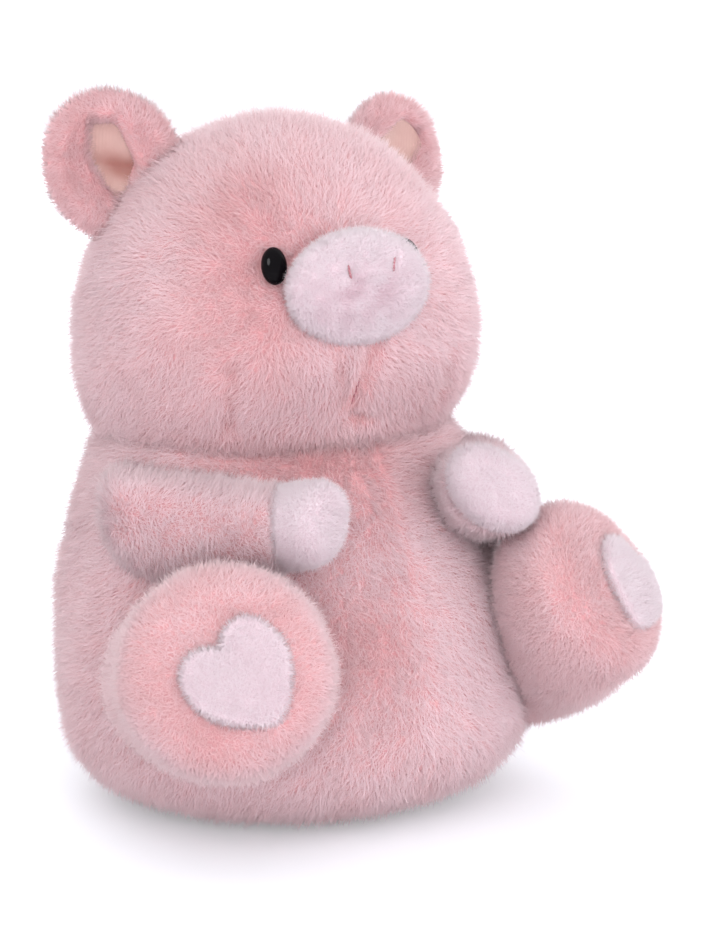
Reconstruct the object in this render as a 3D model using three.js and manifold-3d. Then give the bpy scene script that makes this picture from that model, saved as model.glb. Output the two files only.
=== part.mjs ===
// A sitting plush pig: fur covers over fibre filling, sewn together at the neck, shoulders, hips and ears.
// Millimetres, +Z up. The pig faces -Y, its left is +X, and the origin is the middle of the face it sits on.
import * as THREE from 'three';
import { mergeVertices } from 'three/addons/utils/BufferGeometryUtils.js';
import Module from 'manifold-3d';

const wasm = await Module();
wasm.setup();

// Clearances and cloth
const seamGap = 0.3; // air between pieces that touch
const pocketGap = 1.2; // air round a limb's ball, faceted as both are
const furWall = 7; // backing and pressed pile
const overrun = 40; // how far a cutter runs past what it cuts
const weldReach = 0.0001;
const probe = 0.01; // step for a surface's slope

// Torso: a pear that leans back from the seat to the neck
const torsoHalfWidth = 101;
const torsoHalfDepth = 92;
const torsoWidestHeight = 42;
const torsoRise = 158; // from the widest level to where the pear would close
const torsoLean = 27;
const neckHeight = 152;
const seatCut = 0.5; // pressed flat by what it stands on
const beanBagHeight = 27;

// Head: wide jowls low down, a round crown above
const headHalfWidth = 85;
const headHalfDepth = 70;
const headWidestRise = 42; // above the neck
const headCrown = 91; // above the widest level
const headJowlDepth = 90; // below it, where the jowls would close
const headBack = 16;
const headTuckDepth = 8; // how much further back the jowls end

// Snout, nostrils and mouth, measured from the head's widest level
const snoutHalfWidth = 32;
const snoutHalfHeight = 23.5;
const snoutDomeDepth = 14; // its middle ahead of the face
const snoutHeight = 27;
const snoutPadWall = 4;
const snoutStandDepth = 3; // its widest ring ahead of the face
const nostrilSpread = 10.3;
const nostrilRise = 8;
const nostrilLength = 8;
const nostrilLeanAngle = 12; // degrees
const threadRadius = 0.8;
const threadGap = 0.5; // over the facets that it lies on
const mouthTopDrop = 2;
const mouthBottomDrop = 30;

// Safety eyes
const eyeSpread = 32.3;
const eyeRise = 36.5;
const eyeHalfWidth = 5;
const eyeHalfHeight = 7.4;
const eyeDomeDepth = 4.6;
const eyeSinkDepth = 3;
const shankRadius = 2;
const shankEnd = 3.8; // past the washer
const washerRadius = 8;
const washerWall = 1.6;
const washerSeat = 1.6; // behind the cover

// Ears: cupped discs sewn to the sides of the crown
const earRadius = 34;
const earReach = 10; // from the root to the middle of the disc
const earWall = 8;
const earBowlDepth = 12;
const earLiningRadius = 20;
const earLiningWall = 1.2;
const earRootRise = 61;
const earRootBackAngle = 12; // degrees behind sideways
const earSlimShare = 0.88; // width against length
const earSweepAngle = 20;
const earFacingAngle = 15;
const earFoldAngle = 12;
const earCurlDepth = 4;

// Arms: from the shoulder forwards and in, across the belly
const shoulderDrop = 29; // below the neck
const shoulderAngle = 61; // degrees from straight ahead
const shoulderSink = 5;
const shoulderRadius = 26;
const armReach = 72;
const handRadius = 18.7;
const armWaistDepth = 1.5;
const handPadLength = 23;

// Legs: splayed and raised, each ending in a round foot
const hipAngle = 44;
const hipSink = 9;
const hipRadius = 38.5;
const hipBallEndAngle = 25; // degrees of the ball in front of the hip's middle
const legReach = 54;
const footRound = 21;
const heartWall = 3;
const heartAngle = 40;

// What the two sides, filled by hand, don't share
const leftSide = {
  name: 'left',
  side: 1,
  armInwardAngle: 21,
  armRiseAngle: 13,
  hipHeight: 67,
  footRadius: 39.5,
  legSplayAngle: 31,
  legRiseAngle: 27,
  earAngle: 35,
};
const rightSide = {
  name: 'right',
  side: -1,
  armInwardAngle: 26,
  armRiseAngle: 10,
  hipHeight: 67,
  footRadius: 44,
  legSplayAngle: 28,
  legRiseAngle: 20,
  earAngle: 64,
};
const sides = [leftSide, rightSide];

// Tail: one tapered curl
const tailHeight = 62;
const tailRadius = 5.5;
const tailTipRadius = 3.5;
const tailCurlRadius = 9;
const tailLength = 24;

// Shapes of the swells, as exponents and shares
const seatSquareness = 3;
const headSquareness = 2.4;
const footSquareness = 2.5;
const rootOpeningShare = 0.55;
const tailTurnsShare = 1.2;
const ballShare = 0.5;
const snoutSquareness = 2.3;
const earRimSquareness = 4;
const heartHalfWidthShare = 0.52; // of the foot's radius, like the next three
const heartHeightShare = 0.96;
const heartInwardShare = 0.2;
const heartDropShare = 0.12;
const heartShares = {
  tip: [0, -0.52],
  flank: [0.5, -0.4],
  waist: [1, -0.1],
  lobe: [1, 0.12],
  crown: [1, 0.62],
  dip: [0.2, 0.6],
  notch: [0, 0.3],
};

// How finely each form is faceted
const torsoFacets = { around: 28, seatRings: 6, bellyRings: 6 };
const torsoInnerFacets = { around: 16, seatRings: 4, bellyRings: 4 };
const headFacets = { around: 28, jowlRings: 4, crownRings: 8 };
const headInnerFacets = { around: 18, jowlRings: 3, crownRings: 5 };
const armFacets = { around: 16, ballRings: 5, sleeveRings: 3, tipRings: 5 };
const armInnerFacets = { around: 10, ballRings: 3, sleeveRings: 2, tipRings: 3 };
const legFacets = { around: 20, ballRings: 5, sleeveRings: 3, tipRings: 6 };
const legInnerFacets = { around: 12, ballRings: 3, sleeveRings: 2, tipRings: 4 };
const ballFacets = { around: 18, up: 12 };
const earFacets = { around: 20, rings: 9 };
const earLiningFacets = { around: 16, rings: 7 };
const snoutFacets = { around: 20, rings: 8 };
const eyeFacets = { around: 12, rings: 7 };
const tailFacets = { around: 8, rings: 16 };
const poleAngle = 7; // degrees left between the last ring and the pole
const roundSides = 16;
const threadSides = 6;
const threadSteps = 6;
const heartSteps = 5;
const sweepAngle = 6; // degrees between the poses that a limb is cut clear of

const up = new THREE.Vector3(0, 0, 1);
const radians = THREE.MathUtils.degToRad;
const headWidestHeight = neckHeight + headWidestRise;
const washerDepth = furWall + washerSeat;
const shankLength = washerDepth + washerWall + shankEnd;

// Materials
const cloth = (color) => new THREE.MeshStandardMaterial({ color, roughness: 0.95, metalness: 0 });
const pinkFur = cloth('#e0b0b6');
const paleFur = cloth('#e8d2dc');
const satin = new THREE.MeshStandardMaterial({ color: '#dcb3b0', roughness: 0.45, metalness: 0 });
const filling = cloth('#f4f2ee');
const pelletCotton = cloth('#e9e4da');
const thread = cloth('#b98288');
const blackPlastic = new THREE.MeshStandardMaterial({ color: '#131118', roughness: 0.08, metalness: 0 });
const clearNylon = new THREE.MeshStandardMaterial({ color: '#dedbd2', roughness: 0.5, metalness: 0 });

const pig = new THREE.Group();
const addPiece = (name, geometry, material, carrier = pig) => {
  const mesh = new THREE.Mesh(geometry, material);
  mesh.name = name;
  carrier.add(mesh);
  return mesh;
};

// Solids for cutting and joining, and back
const solidOf = (geometry) => {
  const plain = geometry.clone();
  plain.deleteAttribute('normal');
  plain.deleteAttribute('uv');
  const merged = mergeVertices(plain, weldReach);
  const vertProperties = new Float32Array(merged.attributes.position.array);
  const triVerts = new Uint32Array(merged.index.array);
  return new wasm.Manifold(new wasm.Mesh({ numProp: 3, vertProperties, triVerts }));
};
const geometryOf = (solid) => {
  const { vertProperties, triVerts } = solid.getMesh();
  const geometry = new THREE.BufferGeometry();
  geometry.setAttribute('position', new THREE.BufferAttribute(vertProperties, 3));
  geometry.setIndex(new THREE.BufferAttribute(triVerts, 1));
  return geometry;
};

// A closed form skinned over rings of points that run anticlockwise about the way they climb
const skinned = (rings) => {
  const middle = (ring) => ring.reduce((sum, point) => sum.add(point), new THREE.Vector3()).divideScalar(ring.length);
  const around = rings[0].length;
  const points = [middle(rings[0]), ...rings.flat(), middle(rings.at(-1))];
  const at = (ring, step) => 1 + ring * around + (step % around);
  const faces = [];
  for (let step = 0; step < around; step += 1) {
    faces.push(0, at(0, step + 1), at(0, step));
    for (let ring = 0; ring < rings.length - 1; ring += 1) {
      faces.push(at(ring, step), at(ring, step + 1), at(ring + 1, step + 1));
      faces.push(at(ring, step), at(ring + 1, step + 1), at(ring + 1, step));
    }
    faces.push(points.length - 1, at(rings.length - 1, step), at(rings.length - 1, step + 1));
  }
  const geometry = new THREE.BufferGeometry().setFromPoints(points);
  geometry.setIndex(faces);
  return geometry;
};
const spread = (from, to, count) =>
  Array.from({ length: count }, (_, index) => THREE.MathUtils.lerp(from, to, index / (count - 1)));

// A level oval of points, on an ellipse or squarer
const signedPower = (value, power) => Math.sign(value) * Math.abs(value) ** power;
const ovalRing = (halfWidth, halfDepth, centreY, height, squareness, around) =>
  Array.from({ length: around }, (_, step) => {
    const angle = (2 * Math.PI * step) / around;
    const x = halfWidth * signedPower(Math.cos(angle), 2 / squareness);
    const y = halfDepth * signedPower(Math.sin(angle), 2 / squareness);
    return new THREE.Vector3(x, y + centreY, height);
  });

const raised = (ring, height) => ring.map((point) => point.clone().add(new THREE.Vector3(0, 0, height)));

// The pear of the torso. A ring's place is an angle: below zero it is under the widest level.
const torsoShift = (height) => {
  const climb = Math.max(height - torsoWidestHeight, 0);
  return (torsoLean * climb) / (neckHeight - torsoWidestHeight);
};
const torsoLatitude = (height) => Math.asin((height - torsoWidestHeight) / torsoRise);
const torsoForm = (inset, neckOverrun = 0) => {
  const { around, seatRings, bellyRings } = inset > 0 ? torsoInnerFacets : torsoFacets;
  const neckLatitude = THREE.MathUtils.radToDeg(torsoLatitude(neckHeight));
  const seatSpread = spread(poleAngle - 90, 0, seatRings);
  const bellySpread = spread(0, neckLatitude, bellyRings);
  const seat = seatSpread.map((latitude) => {
    const share = Math.cos(radians(latitude)) ** (2 / seatSquareness);
    const drop = Math.sin(radians(-latitude)) ** (2 / seatSquareness);
    const height = torsoWidestHeight - (torsoWidestHeight + seatCut - inset) * drop;
    return { share, height };
  });
  const belly = bellySpread.slice(1).map((latitude) => ({
    share: Math.cos(radians(latitude)),
    height: torsoWidestHeight + torsoRise * Math.sin(radians(latitude)),
  }));
  const rings = [...seat, ...belly].map(({ share, height }) => {
    const halfWidth = (torsoHalfWidth - inset) * share;
    const halfDepth = (torsoHalfDepth - inset) * share;
    return ovalRing(halfWidth, halfDepth, torsoShift(height), height, 2, around);
  });
  return skinned(neckOverrun > 0 ? [...rings, raised(rings.at(-1), neckOverrun)] : rings);
};

// A point on the torso's surface, at a bearing from straight ahead and a height, sunk along the bearing
const torsoPoint = (bearing, height, sink) => {
  const share = Math.cos(torsoLatitude(height));
  const across = Math.sin(radians(bearing));
  const ahead = -Math.cos(radians(bearing));
  const reach = share / Math.hypot(across / torsoHalfWidth, ahead / torsoHalfDepth) - sink;
  return new THREE.Vector3(across * reach, ahead * reach + torsoShift(height), height);
};

// The head: two half swells that meet at the widest level, open to the torso at the neck
const headShift = (rise) => headBack + (headTuckDepth * Math.max(-rise, 0)) / headWidestRise;
const headForm = (inset, neckOverrun = 0) => {
  const { around, jowlRings, crownRings } = inset > 0 ? headInnerFacets : headFacets;
  const jowlLatitude = THREE.MathUtils.radToDeg(Math.asin((seamGap - headWidestRise) / headJowlDepth));
  const jowls = spread(jowlLatitude, 0, jowlRings).map((latitude) => ({
    share: Math.cos(radians(latitude)),
    rise: headJowlDepth * Math.sin(radians(latitude)),
  }));
  const crown = spread(0, 90 - poleAngle, crownRings).slice(1).map((latitude) => ({
    share: Math.cos(radians(latitude)),
    rise: (headCrown - inset) * Math.sin(radians(latitude)),
  }));
  const rings = [...jowls, ...crown].map(({ share, rise }) => {
    const halfWidth = (headHalfWidth - inset) * share;
    const halfDepth = (headHalfDepth - inset) * share;
    return ovalRing(halfWidth, halfDepth, headShift(rise), headWidestHeight + rise, headSquareness, around);
  });
  return skinned(neckOverrun > 0 ? [raised(rings[0], -neckOverrun), ...rings] : rings);
};

// The face's surface at a distance across and a rise from the widest level
const facePoint = (across, rise) => {
  const share = Math.sqrt(1 - (rise / (rise > 0 ? headCrown : headJowlDepth)) ** 2);
  const acrossShare = Math.abs(across) / (headHalfWidth * share);
  const ahead = headHalfDepth * share * (1 - acrossShare ** headSquareness) ** (1 / headSquareness);
  return new THREE.Vector3(across, headShift(rise) - ahead, headWidestHeight + rise);
};
const outwardOf = (surface, across, rise) => {
  const here = surface(across, rise);
  const tangentAcross = surface(across + probe, rise).sub(here);
  const tangentUp = surface(across, rise + probe).sub(here);
  return tangentAcross.cross(tangentUp).normalize();
};

// A frame whose Z runs along a limb, with X level and Y upwards
const limbFrame = (origin, along) => {
  const side = new THREE.Vector3().crossVectors(up, along).normalize();
  const rise = new THREE.Vector3().crossVectors(along, side);
  return new THREE.Matrix4().makeBasis(side, rise, along).setPosition(origin);
};
const headingOf = (side, bearing, rise) => {
  const level = Math.cos(radians(rise));
  const across = side * Math.sin(radians(bearing)) * level;
  const ahead = -Math.cos(radians(bearing)) * level;
  return new THREE.Vector3(across, ahead, Math.sin(radians(rise)));
};

// A swelling limb along Z, given as radius and place along it
const limbForm = (profile, around) =>
  skinned(profile.map(({ radius, along }) => ovalRing(radius, radius, 0, along, 2, around)));
const ballPart = (radius, from, to, count, centre) =>
  spread(from, to, count).map((latitude) => ({
    radius: radius * Math.cos(radians(latitude)),
    along: centre + radius * Math.sin(radians(latitude)),
  }));

// A tube of rings along points, each ring turned to its own outward direction
const tubeForm = (points, radii, outwards, around) => {
  const rings = points.map((point, index) => {
    const before = points[Math.max(index - 1, 0)];
    const after = points[Math.min(index + 1, points.length - 1)];
    const along = after.clone().sub(before).normalize();
    const first = outwards[index].clone().addScaledVector(along, -outwards[index].dot(along)).normalize();
    const second = new THREE.Vector3().crossVectors(along, first);
    return Array.from({ length: around }, (_, step) => {
      const angle = (2 * Math.PI * step) / around;
      const lean = first.clone().multiplyScalar(Math.cos(angle)).addScaledVector(second, Math.sin(angle));
      return point.clone().addScaledVector(lean, radii[index]);
    });
  });
  return skinned(rings);
};
// Cut a limb clear of its carrier at each pose that its joint reaches
const clearOf = (limb, carrier, pivot, axis, fromAngle, toAngle) => {
  const poses = spread(fromAngle, toAngle, 1 + Math.ceil((toAngle - fromAngle) / sweepAngle));
  let clear = limb;
  for (const angle of [0, ...poses.filter((pose) => pose !== 0)]) {
    const turned = carrier.clone();
    turned.translate(-pivot.x, -pivot.y, -pivot.z);
    turned.applyMatrix4(new THREE.Matrix4().makeRotationAxis(axis, radians(-angle)));
    turned.translate(pivot.x, pivot.y, pivot.z);
    clear = clear.subtract(solidOf(turned));
  }
  return clear;
};

// Plain cutters
const sphereAt = (centre, radius) => {
  const geometry = new THREE.SphereGeometry(radius, ballFacets.around, ballFacets.up);
  return solidOf(geometry.translate(centre.x, centre.y, centre.z));
};
const rodAlong = (frame, radius, from, to, sides = roundSides) => {
  const geometry = new THREE.CylinderGeometry(radius, radius, to - from, sides);
  geometry.rotateX(Math.PI / 2).translate(0, 0, (from + to) / 2);
  return solidOf(geometry.applyMatrix4(frame));
};
const slab = (fromHeight, toHeight) => {
  const width = 2 * Math.max(torsoHalfWidth, torsoHalfDepth + torsoLean) + overrun;
  const geometry = new THREE.BoxGeometry(width, width, toHeight - fromHeight);
  return solidOf(geometry.translate(0, 0, (fromHeight + toHeight) / 2));
};

// Arms: a ball at the shoulder, a sleeve with a slight waist and a round hand with a pale pad
const shoulderHeight = neckHeight - shoulderDrop;
const armProfile = (inset) => {
  const taper = THREE.MathUtils.radToDeg(Math.asin((shoulderRadius - handRadius) / armReach));
  const { ballRings, sleeveRings, tipRings } = inset > 0 ? armInnerFacets : armFacets;
  const ball = ballPart(shoulderRadius - inset, poleAngle - 90, taper, ballRings, 0);
  const hand = ballPart(handRadius - inset, taper, 90 - poleAngle, tipRings, armReach);
  const sleeve = spread(0, 1, sleeveRings + 2).slice(1, -1).map((share) => ({
    radius: THREE.MathUtils.lerp(ball.at(-1).radius, hand[0].radius, share) - armWaistDepth * Math.sin(Math.PI * share),
    along: THREE.MathUtils.lerp(ball.at(-1).along, hand[0].along, share),
  }));
  return [...ball, ...sleeve, ...hand];
};
const armPieces = ({ side, armInwardAngle, armRiseAngle }) => {
  const shoulder = torsoPoint(side * shoulderAngle, shoulderHeight, shoulderSink);
  const frame = limbFrame(shoulder, headingOf(-side, armInwardAngle, armRiseAngle));
  const armSolid = (inset) => {
    const { around } = inset > 0 ? armInnerFacets : armFacets;
    const form = solidOf(limbForm(armProfile(inset), around).applyMatrix4(frame));
    const ballRoom = sphereAt(shoulder, shoulderRadius - inset + pocketGap * ballShare);
    return form.subtract(solidOf(torsoForm(-seamGap - inset)).subtract(ballRoom));
  };
  const padStart = armReach + handRadius - handPadLength;
  const inwards = headingOf(side, shoulderAngle, 0).negate();
  const root = rodAlong(limbFrame(shoulder, inwards), shoulderRadius * rootOpeningShare, 0, shoulderRadius + overrun);
  const cover = armSolid(0).subtract(armSolid(furWall)).subtract(root);
  const handSide = rodAlong(frame, shoulderRadius + overrun, padStart, padStart + handPadLength + overrun);
  const sleeveSide = rodAlong(frame, shoulderRadius + overrun, -shoulderRadius - overrun, padStart + seamGap);
  return {
    pocket: sphereAt(shoulder, shoulderRadius + pocketGap),
    skin: cover.subtract(handSide),
    pad: cover.subtract(sleeveSide),
    stuffing: armSolid(furWall + seamGap),
  };
};

// Legs: a ball at the hip, a sleeve that grows to a round foot, and a heart pad on the sole
const legProfile = (inset, footRadius) => {
  const { ballRings, sleeveRings, tipRings } = inset > 0 ? legInnerFacets : legFacets;
  const ball = ballPart(hipRadius - inset, poleAngle - 90, hipBallEndAngle, ballRings, 0);
  const sleeve = spread(0, 1, sleeveRings + 2).slice(1, -1).map((share) => ({
    radius: THREE.MathUtils.lerp(ball.at(-1).radius, footRadius - inset, THREE.MathUtils.smoothstep(share, 0, 1)),
    along: THREE.MathUtils.lerp(ball.at(-1).along, legReach, share),
  }));
  const foot = spread(0, 90 - poleAngle, tipRings).map((latitude) => ({
    radius: (footRadius - inset) * Math.cos(radians(latitude)) ** (2 / footSquareness),
    along: legReach + (footRound - inset) * Math.sin(radians(latitude)) ** (2 / footSquareness),
  }));
  return [...ball, ...sleeve, ...foot];
};
const heartOutline = (footRadius) => {
  const { tip, flank, waist, lobe, crown, dip, notch } = heartShares;
  const at = ([across, rise]) => [across * footRadius * heartHalfWidthShare, rise * footRadius * heartHeightShare];
  const mirrored = ([across, rise]) => at([-across, rise]);
  const shape = new THREE.Shape();
  shape.moveTo(...at(tip));
  shape.bezierCurveTo(...at(flank), ...at(waist), ...at(lobe));
  shape.bezierCurveTo(...at(crown), ...at(dip), ...at(notch));
  shape.bezierCurveTo(...mirrored(dip), ...mirrored(crown), ...mirrored(lobe));
  shape.bezierCurveTo(...mirrored(waist), ...mirrored(flank), ...at(tip));
  return shape;
};
const legPieces = ({ side, hipHeight, footRadius, legSplayAngle, legRiseAngle }) => {
  const hip = torsoPoint(side * hipAngle, hipHeight, hipSink);
  const along = headingOf(side, legSplayAngle, legRiseAngle);
  const frame = limbFrame(hip, along);
  const legSolid = (inset) => {
    const { around } = inset > 0 ? legInnerFacets : legFacets;
    return solidOf(limbForm(legProfile(inset, footRadius), around).applyMatrix4(frame));
  };
  const root = rodAlong(frame, hipRadius + overrun, -hipRadius - overrun, -hipRadius * rootOpeningShare);
  const heart = new THREE.ExtrudeGeometry(heartOutline(footRadius), {
    depth: overrun + legReach,
    curveSegments: heartSteps,
    bevelEnabled: false,
  });
  const inward = -side * footRadius * heartInwardShare;
  const drop = footRadius * heartDropShare;
  heart.rotateZ(radians(-side * heartAngle)).translate(inward, -drop, legReach / 2).applyMatrix4(frame);
  return {
    pocket: sphereAt(hip, hipRadius + pocketGap),
    skin: legSolid(0).subtract(legSolid(furWall)).subtract(root),
    heart: legSolid(-seamGap - heartWall).subtract(legSolid(-seamGap)).intersect(solidOf(heart)),
    stuffing: legSolid(furWall + seamGap),
  };
};

const arms = sides.map(armPieces);
const legs = sides.map(legPieces);
const withoutPockets = (solid) =>
  [...arms, ...legs].reduce((rest, limb) => rest.subtract(limb.pocket), solid);

// Torso cover, its filling and the pellet bag in the seat
const belowSeat = slab(-overrun, 0);
const torsoHollow = solidOf(torsoForm(furWall, overrun));
const torsoCover = solidOf(torsoForm(0)).subtract(torsoHollow).subtract(belowSeat);
addPiece('torso_skin', geometryOf(withoutPockets(torsoCover)), pinkFur);
const torsoFill = withoutPockets(solidOf(torsoForm(furWall + seamGap)));
const aboveBag = slab(beanBagHeight, neckHeight + overrun);
const belowFill = slab(-overrun, beanBagHeight + seamGap);
addPiece('torso_stuffing', geometryOf(torsoFill.subtract(belowFill)), filling);
addPiece('seat_bean_bag', geometryOf(torsoFill.subtract(aboveBag)), pelletCotton);

sides.forEach(({ name }, index) => {
  addPiece(`arm_${name}_skin`, geometryOf(arms[index].skin), pinkFur);
  addPiece(`arm_${name}_pad`, geometryOf(arms[index].pad), paleFur);
  addPiece(`arm_${name}_stuffing`, geometryOf(arms[index].stuffing), filling);
  addPiece(`leg_${name}_skin`, geometryOf(legs[index].skin), pinkFur);
  addPiece(`leg_${name}_heart`, geometryOf(legs[index].heart), paleFur);
  addPiece(`leg_${name}_stuffing`, geometryOf(legs[index].stuffing), filling);
});

// Safety eyes: a domed oval with a shank through the cover, and a washer behind it
const eyeForm = (growth) => {
  const { around, rings } = eyeFacets;
  const levels = spread(poleAngle - 90, 90 - poleAngle, rings).map((latitude) => {
    const share = Math.cos(radians(latitude));
    const depth = latitude > 0 ? eyeDomeDepth : eyeSinkDepth;
    const height = (depth + growth) * Math.sin(radians(latitude));
    return ovalRing((eyeHalfWidth + growth) * share, (eyeHalfHeight + growth) * share, 0, height, 2, around);
  });
  return skinned(levels);
};
const flat = new THREE.Matrix4();
const eyeSolid = (growth) =>
  solidOf(eyeForm(growth)).add(rodAlong(flat, shankRadius + growth, -shankLength - growth, 0));
const washer = rodAlong(flat, washerRadius, -washerDepth - washerWall, -washerDepth).subtract(
  rodAlong(flat, shankRadius + seamGap, -washerDepth - overrun, 0),
);
const eyeFrames = sides.map(({ side }) =>
  limbFrame(facePoint(side * eyeSpread, eyeRise), outwardOf(facePoint, side * eyeSpread, eyeRise)),
);
const placed = (mesh, frame) => {
  frame.decompose(mesh.position, mesh.quaternion, mesh.scale);
  return mesh;
};
sides.forEach(({ name }, index) => {
  placed(addPiece(`eye_${name}`, geometryOf(eyeSolid(0)), blackPlastic), eyeFrames[index]);
  placed(addPiece(`eye_${name}_washer`, geometryOf(washer), clearNylon), eyeFrames[index]);
});

// Head cover and its filling, with room for the eyes and their washers
const eyeRoom = eyeFrames.map((frame) => solidOf(geometryOf(eyeSolid(seamGap)).applyMatrix4(frame)));
const washerRoom = eyeFrames.map((frame) =>
  rodAlong(frame, washerRadius + seamGap, -shankLength - 2 * seamGap, seamGap - washerDepth),
);
const withoutEyes = (solid) => [...eyeRoom, ...washerRoom].reduce((rest, room) => rest.subtract(room), solid);
const headSolid = solidOf(headForm(0));
addPiece('head_skin', geometryOf(withoutEyes(headSolid.subtract(solidOf(headForm(furWall, overrun))))), pinkFur);
addPiece('head_stuffing', geometryOf(withoutEyes(solidOf(headForm(furWall + seamGap)))), filling);

// Snout: an oval dome of pale pile over its own filling, with a stitch drawn in at each nostril
const snoutMiddle = facePoint(0, snoutHeight).sub(new THREE.Vector3(0, snoutStandDepth, 0));
const snoutDepth = snoutDomeDepth - snoutStandDepth;
const snoutForm = (inset) => {
  const { around, rings } = snoutFacets;
  const frame = new THREE.Matrix4().makeRotationX(Math.PI / 2).setPosition(snoutMiddle);
  const levels = spread(poleAngle - 90, 90 - poleAngle, rings).map((latitude) => {
    const share = Math.cos(radians(latitude)) ** (2 / snoutSquareness);
    const height = (snoutDepth - inset) * signedPower(Math.sin(radians(latitude)), 2 / snoutSquareness);
    return ovalRing((snoutHalfWidth - inset) * share, (snoutHalfHeight - inset) * share, 0, height, 2, around);
  });
  return solidOf(skinned(levels).applyMatrix4(frame));
};
const headRoom = solidOf(headForm(-seamGap));
const snoutRoom = [...eyeRoom].reduce((rest, room) => rest.add(room), headRoom);
addPiece('snout_pad', geometryOf(snoutForm(0).subtract(snoutForm(snoutPadWall)).subtract(snoutRoom)), paleFur);
addPiece('snout_filling', geometryOf(snoutForm(snoutPadWall + seamGap).subtract(snoutRoom)), filling);

const snoutFront = (across, rise) => {
  const outward = 1 - (across / snoutHalfWidth) ** 2 - (rise / snoutHalfHeight) ** 2;
  return new THREE.Vector3(across, snoutMiddle.y - snoutDepth * outward ** (1 / snoutSquareness), snoutMiddle.z + rise);
};

// Stitches drawn in: one at each nostril, and the mouth down to the chin
const addStitch = (name, surface, places) => {
  const outwards = places.map(([across, rise]) => outwardOf(surface, across, rise));
  const path = places.map(([across, rise], index) =>
    surface(across, rise).addScaledVector(outwards[index], threadRadius + threadGap),
  );
  const radii = places.map(() => threadRadius);
  addPiece(name, tubeForm(path, radii, outwards, threadSides), thread);
};
sides.forEach(({ name, side }) => {
  const lean = radians(side * nostrilLeanAngle);
  const places = spread(-nostrilLength / 2, nostrilLength / 2, threadSteps).map((place) => [
    side * nostrilSpread + place * Math.sin(lean),
    nostrilRise + place * Math.cos(lean),
  ]);
  addStitch(`nostril_stitch_${name}`, snoutFront, places);
});
const mouthPlaces = spread(-mouthTopDrop, -mouthBottomDrop, threadSteps).map((rise) => [0, rise]);
addStitch('mouth_stitch', facePoint, mouthPlaces);

// Ears: a cupped fur back and a satin lining in the cup
const earFrame = (side, earAngle) => {
  const rootRing = Math.sqrt(1 - (earRootRise / headCrown) ** 2);
  const behind = radians(earRootBackAngle);
  const across = headHalfWidth * rootRing * Math.cos(behind) ** (2 / headSquareness);
  const deep = headHalfDepth * rootRing * Math.sin(behind) ** (2 / headSquareness);
  const root = new THREE.Vector3(side * across, headBack + deep, headWidestHeight + earRootRise);
  const tilt = radians(earAngle);
  const sweep = radians(earSweepAngle);
  const out = new THREE.Vector3(side * Math.cos(sweep), Math.sin(sweep), 0).multiplyScalar(Math.cos(tilt));
  out.z = Math.sin(tilt);
  const away = new THREE.Vector3(-side * Math.sin(radians(earFacingAngle)), Math.cos(radians(earFacingAngle)), 0);
  away.addScaledVector(out, -away.dot(out)).normalize();
  const width = new THREE.Vector3().crossVectors(away, out);
  return { root, width, frame: new THREE.Matrix4().makeBasis(width, away, out).setPosition(root) };
};
const earDish = (across, reach) => {
  const acrossShare = across / earRadius;
  const reachShare = (reach - earReach) / earRadius;
  return earBowlDepth * (1 - acrossShare ** 2 - reachShare ** 2) - earCurlDepth * acrossShare ** 2;
};
const earForm = (radius, wall, forward, { around, rings: count }) => {
  const rings = spread(poleAngle, 180 - poleAngle, count).map((latitude) => {
    const reachOut = radius * Math.sin(radians(latitude));
    const offset = (-wall / 2) * signedPower(Math.cos(radians(latitude)), 2 / earRimSquareness);
    return Array.from({ length: around }, (_, step) => {
      const angle = (2 * Math.PI * step) / around;
      const across = reachOut * Math.sin(angle) * earSlimShare;
      const reach = earReach + reachOut * Math.cos(angle);
      return new THREE.Vector3(across, earDish(across, reach) + offset - forward, reach);
    });
  });
  return skinned(rings);
};
sides.forEach(({ name, side, earAngle }) => {
  const { root, width, frame } = earFrame(side, earAngle);
  const headGeometry = headForm(-seamGap);
  const onHead = (form) => clearOf(solidOf(form.applyMatrix4(frame)), headGeometry, root, width, -earFoldAngle, earFoldAngle);
  const liningForward = earWall / 2 + seamGap + earLiningWall / 2;
  addPiece(`ear_${name}_skin`, geometryOf(onHead(earForm(earRadius, earWall, 0, earFacets))), pinkFur);
  const lining = earForm(earLiningRadius, earLiningWall, liningForward, earLiningFacets);
  addPiece(`ear_${name}_lining`, geometryOf(onHead(lining)), satin);
});

// Tail: one tapered curl out of the back
const tailRoot = torsoPoint(180, tailHeight, 0);
const tailShares = spread(0, 1, tailFacets.rings);
const tailAngle = (share) => 2 * Math.PI * tailTurnsShare * share;
const tailOutwards = tailShares.map((share) => new THREE.Vector3(Math.sin(tailAngle(share)), 0, -Math.cos(tailAngle(share))));
const tailPath = tailShares.map((share, index) => {
  const axisPoint = new THREE.Vector3(0, tailLength * share, tailCurlRadius).add(tailRoot);
  return axisPoint.addScaledVector(tailOutwards[index], tailCurlRadius);
});
const tailRadii = tailShares.map((share) => THREE.MathUtils.lerp(tailRadius, tailTipRadius, share));
const tailTube = solidOf(tubeForm(tailPath, tailRadii, tailOutwards, tailFacets.around));
addPiece('tail', geometryOf(tailTube.subtract(solidOf(torsoForm(-seamGap)))), pinkFur);

export default pig;
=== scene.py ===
import math

import bpy
import numpy as np
from mathutils import Matrix, Vector


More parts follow.
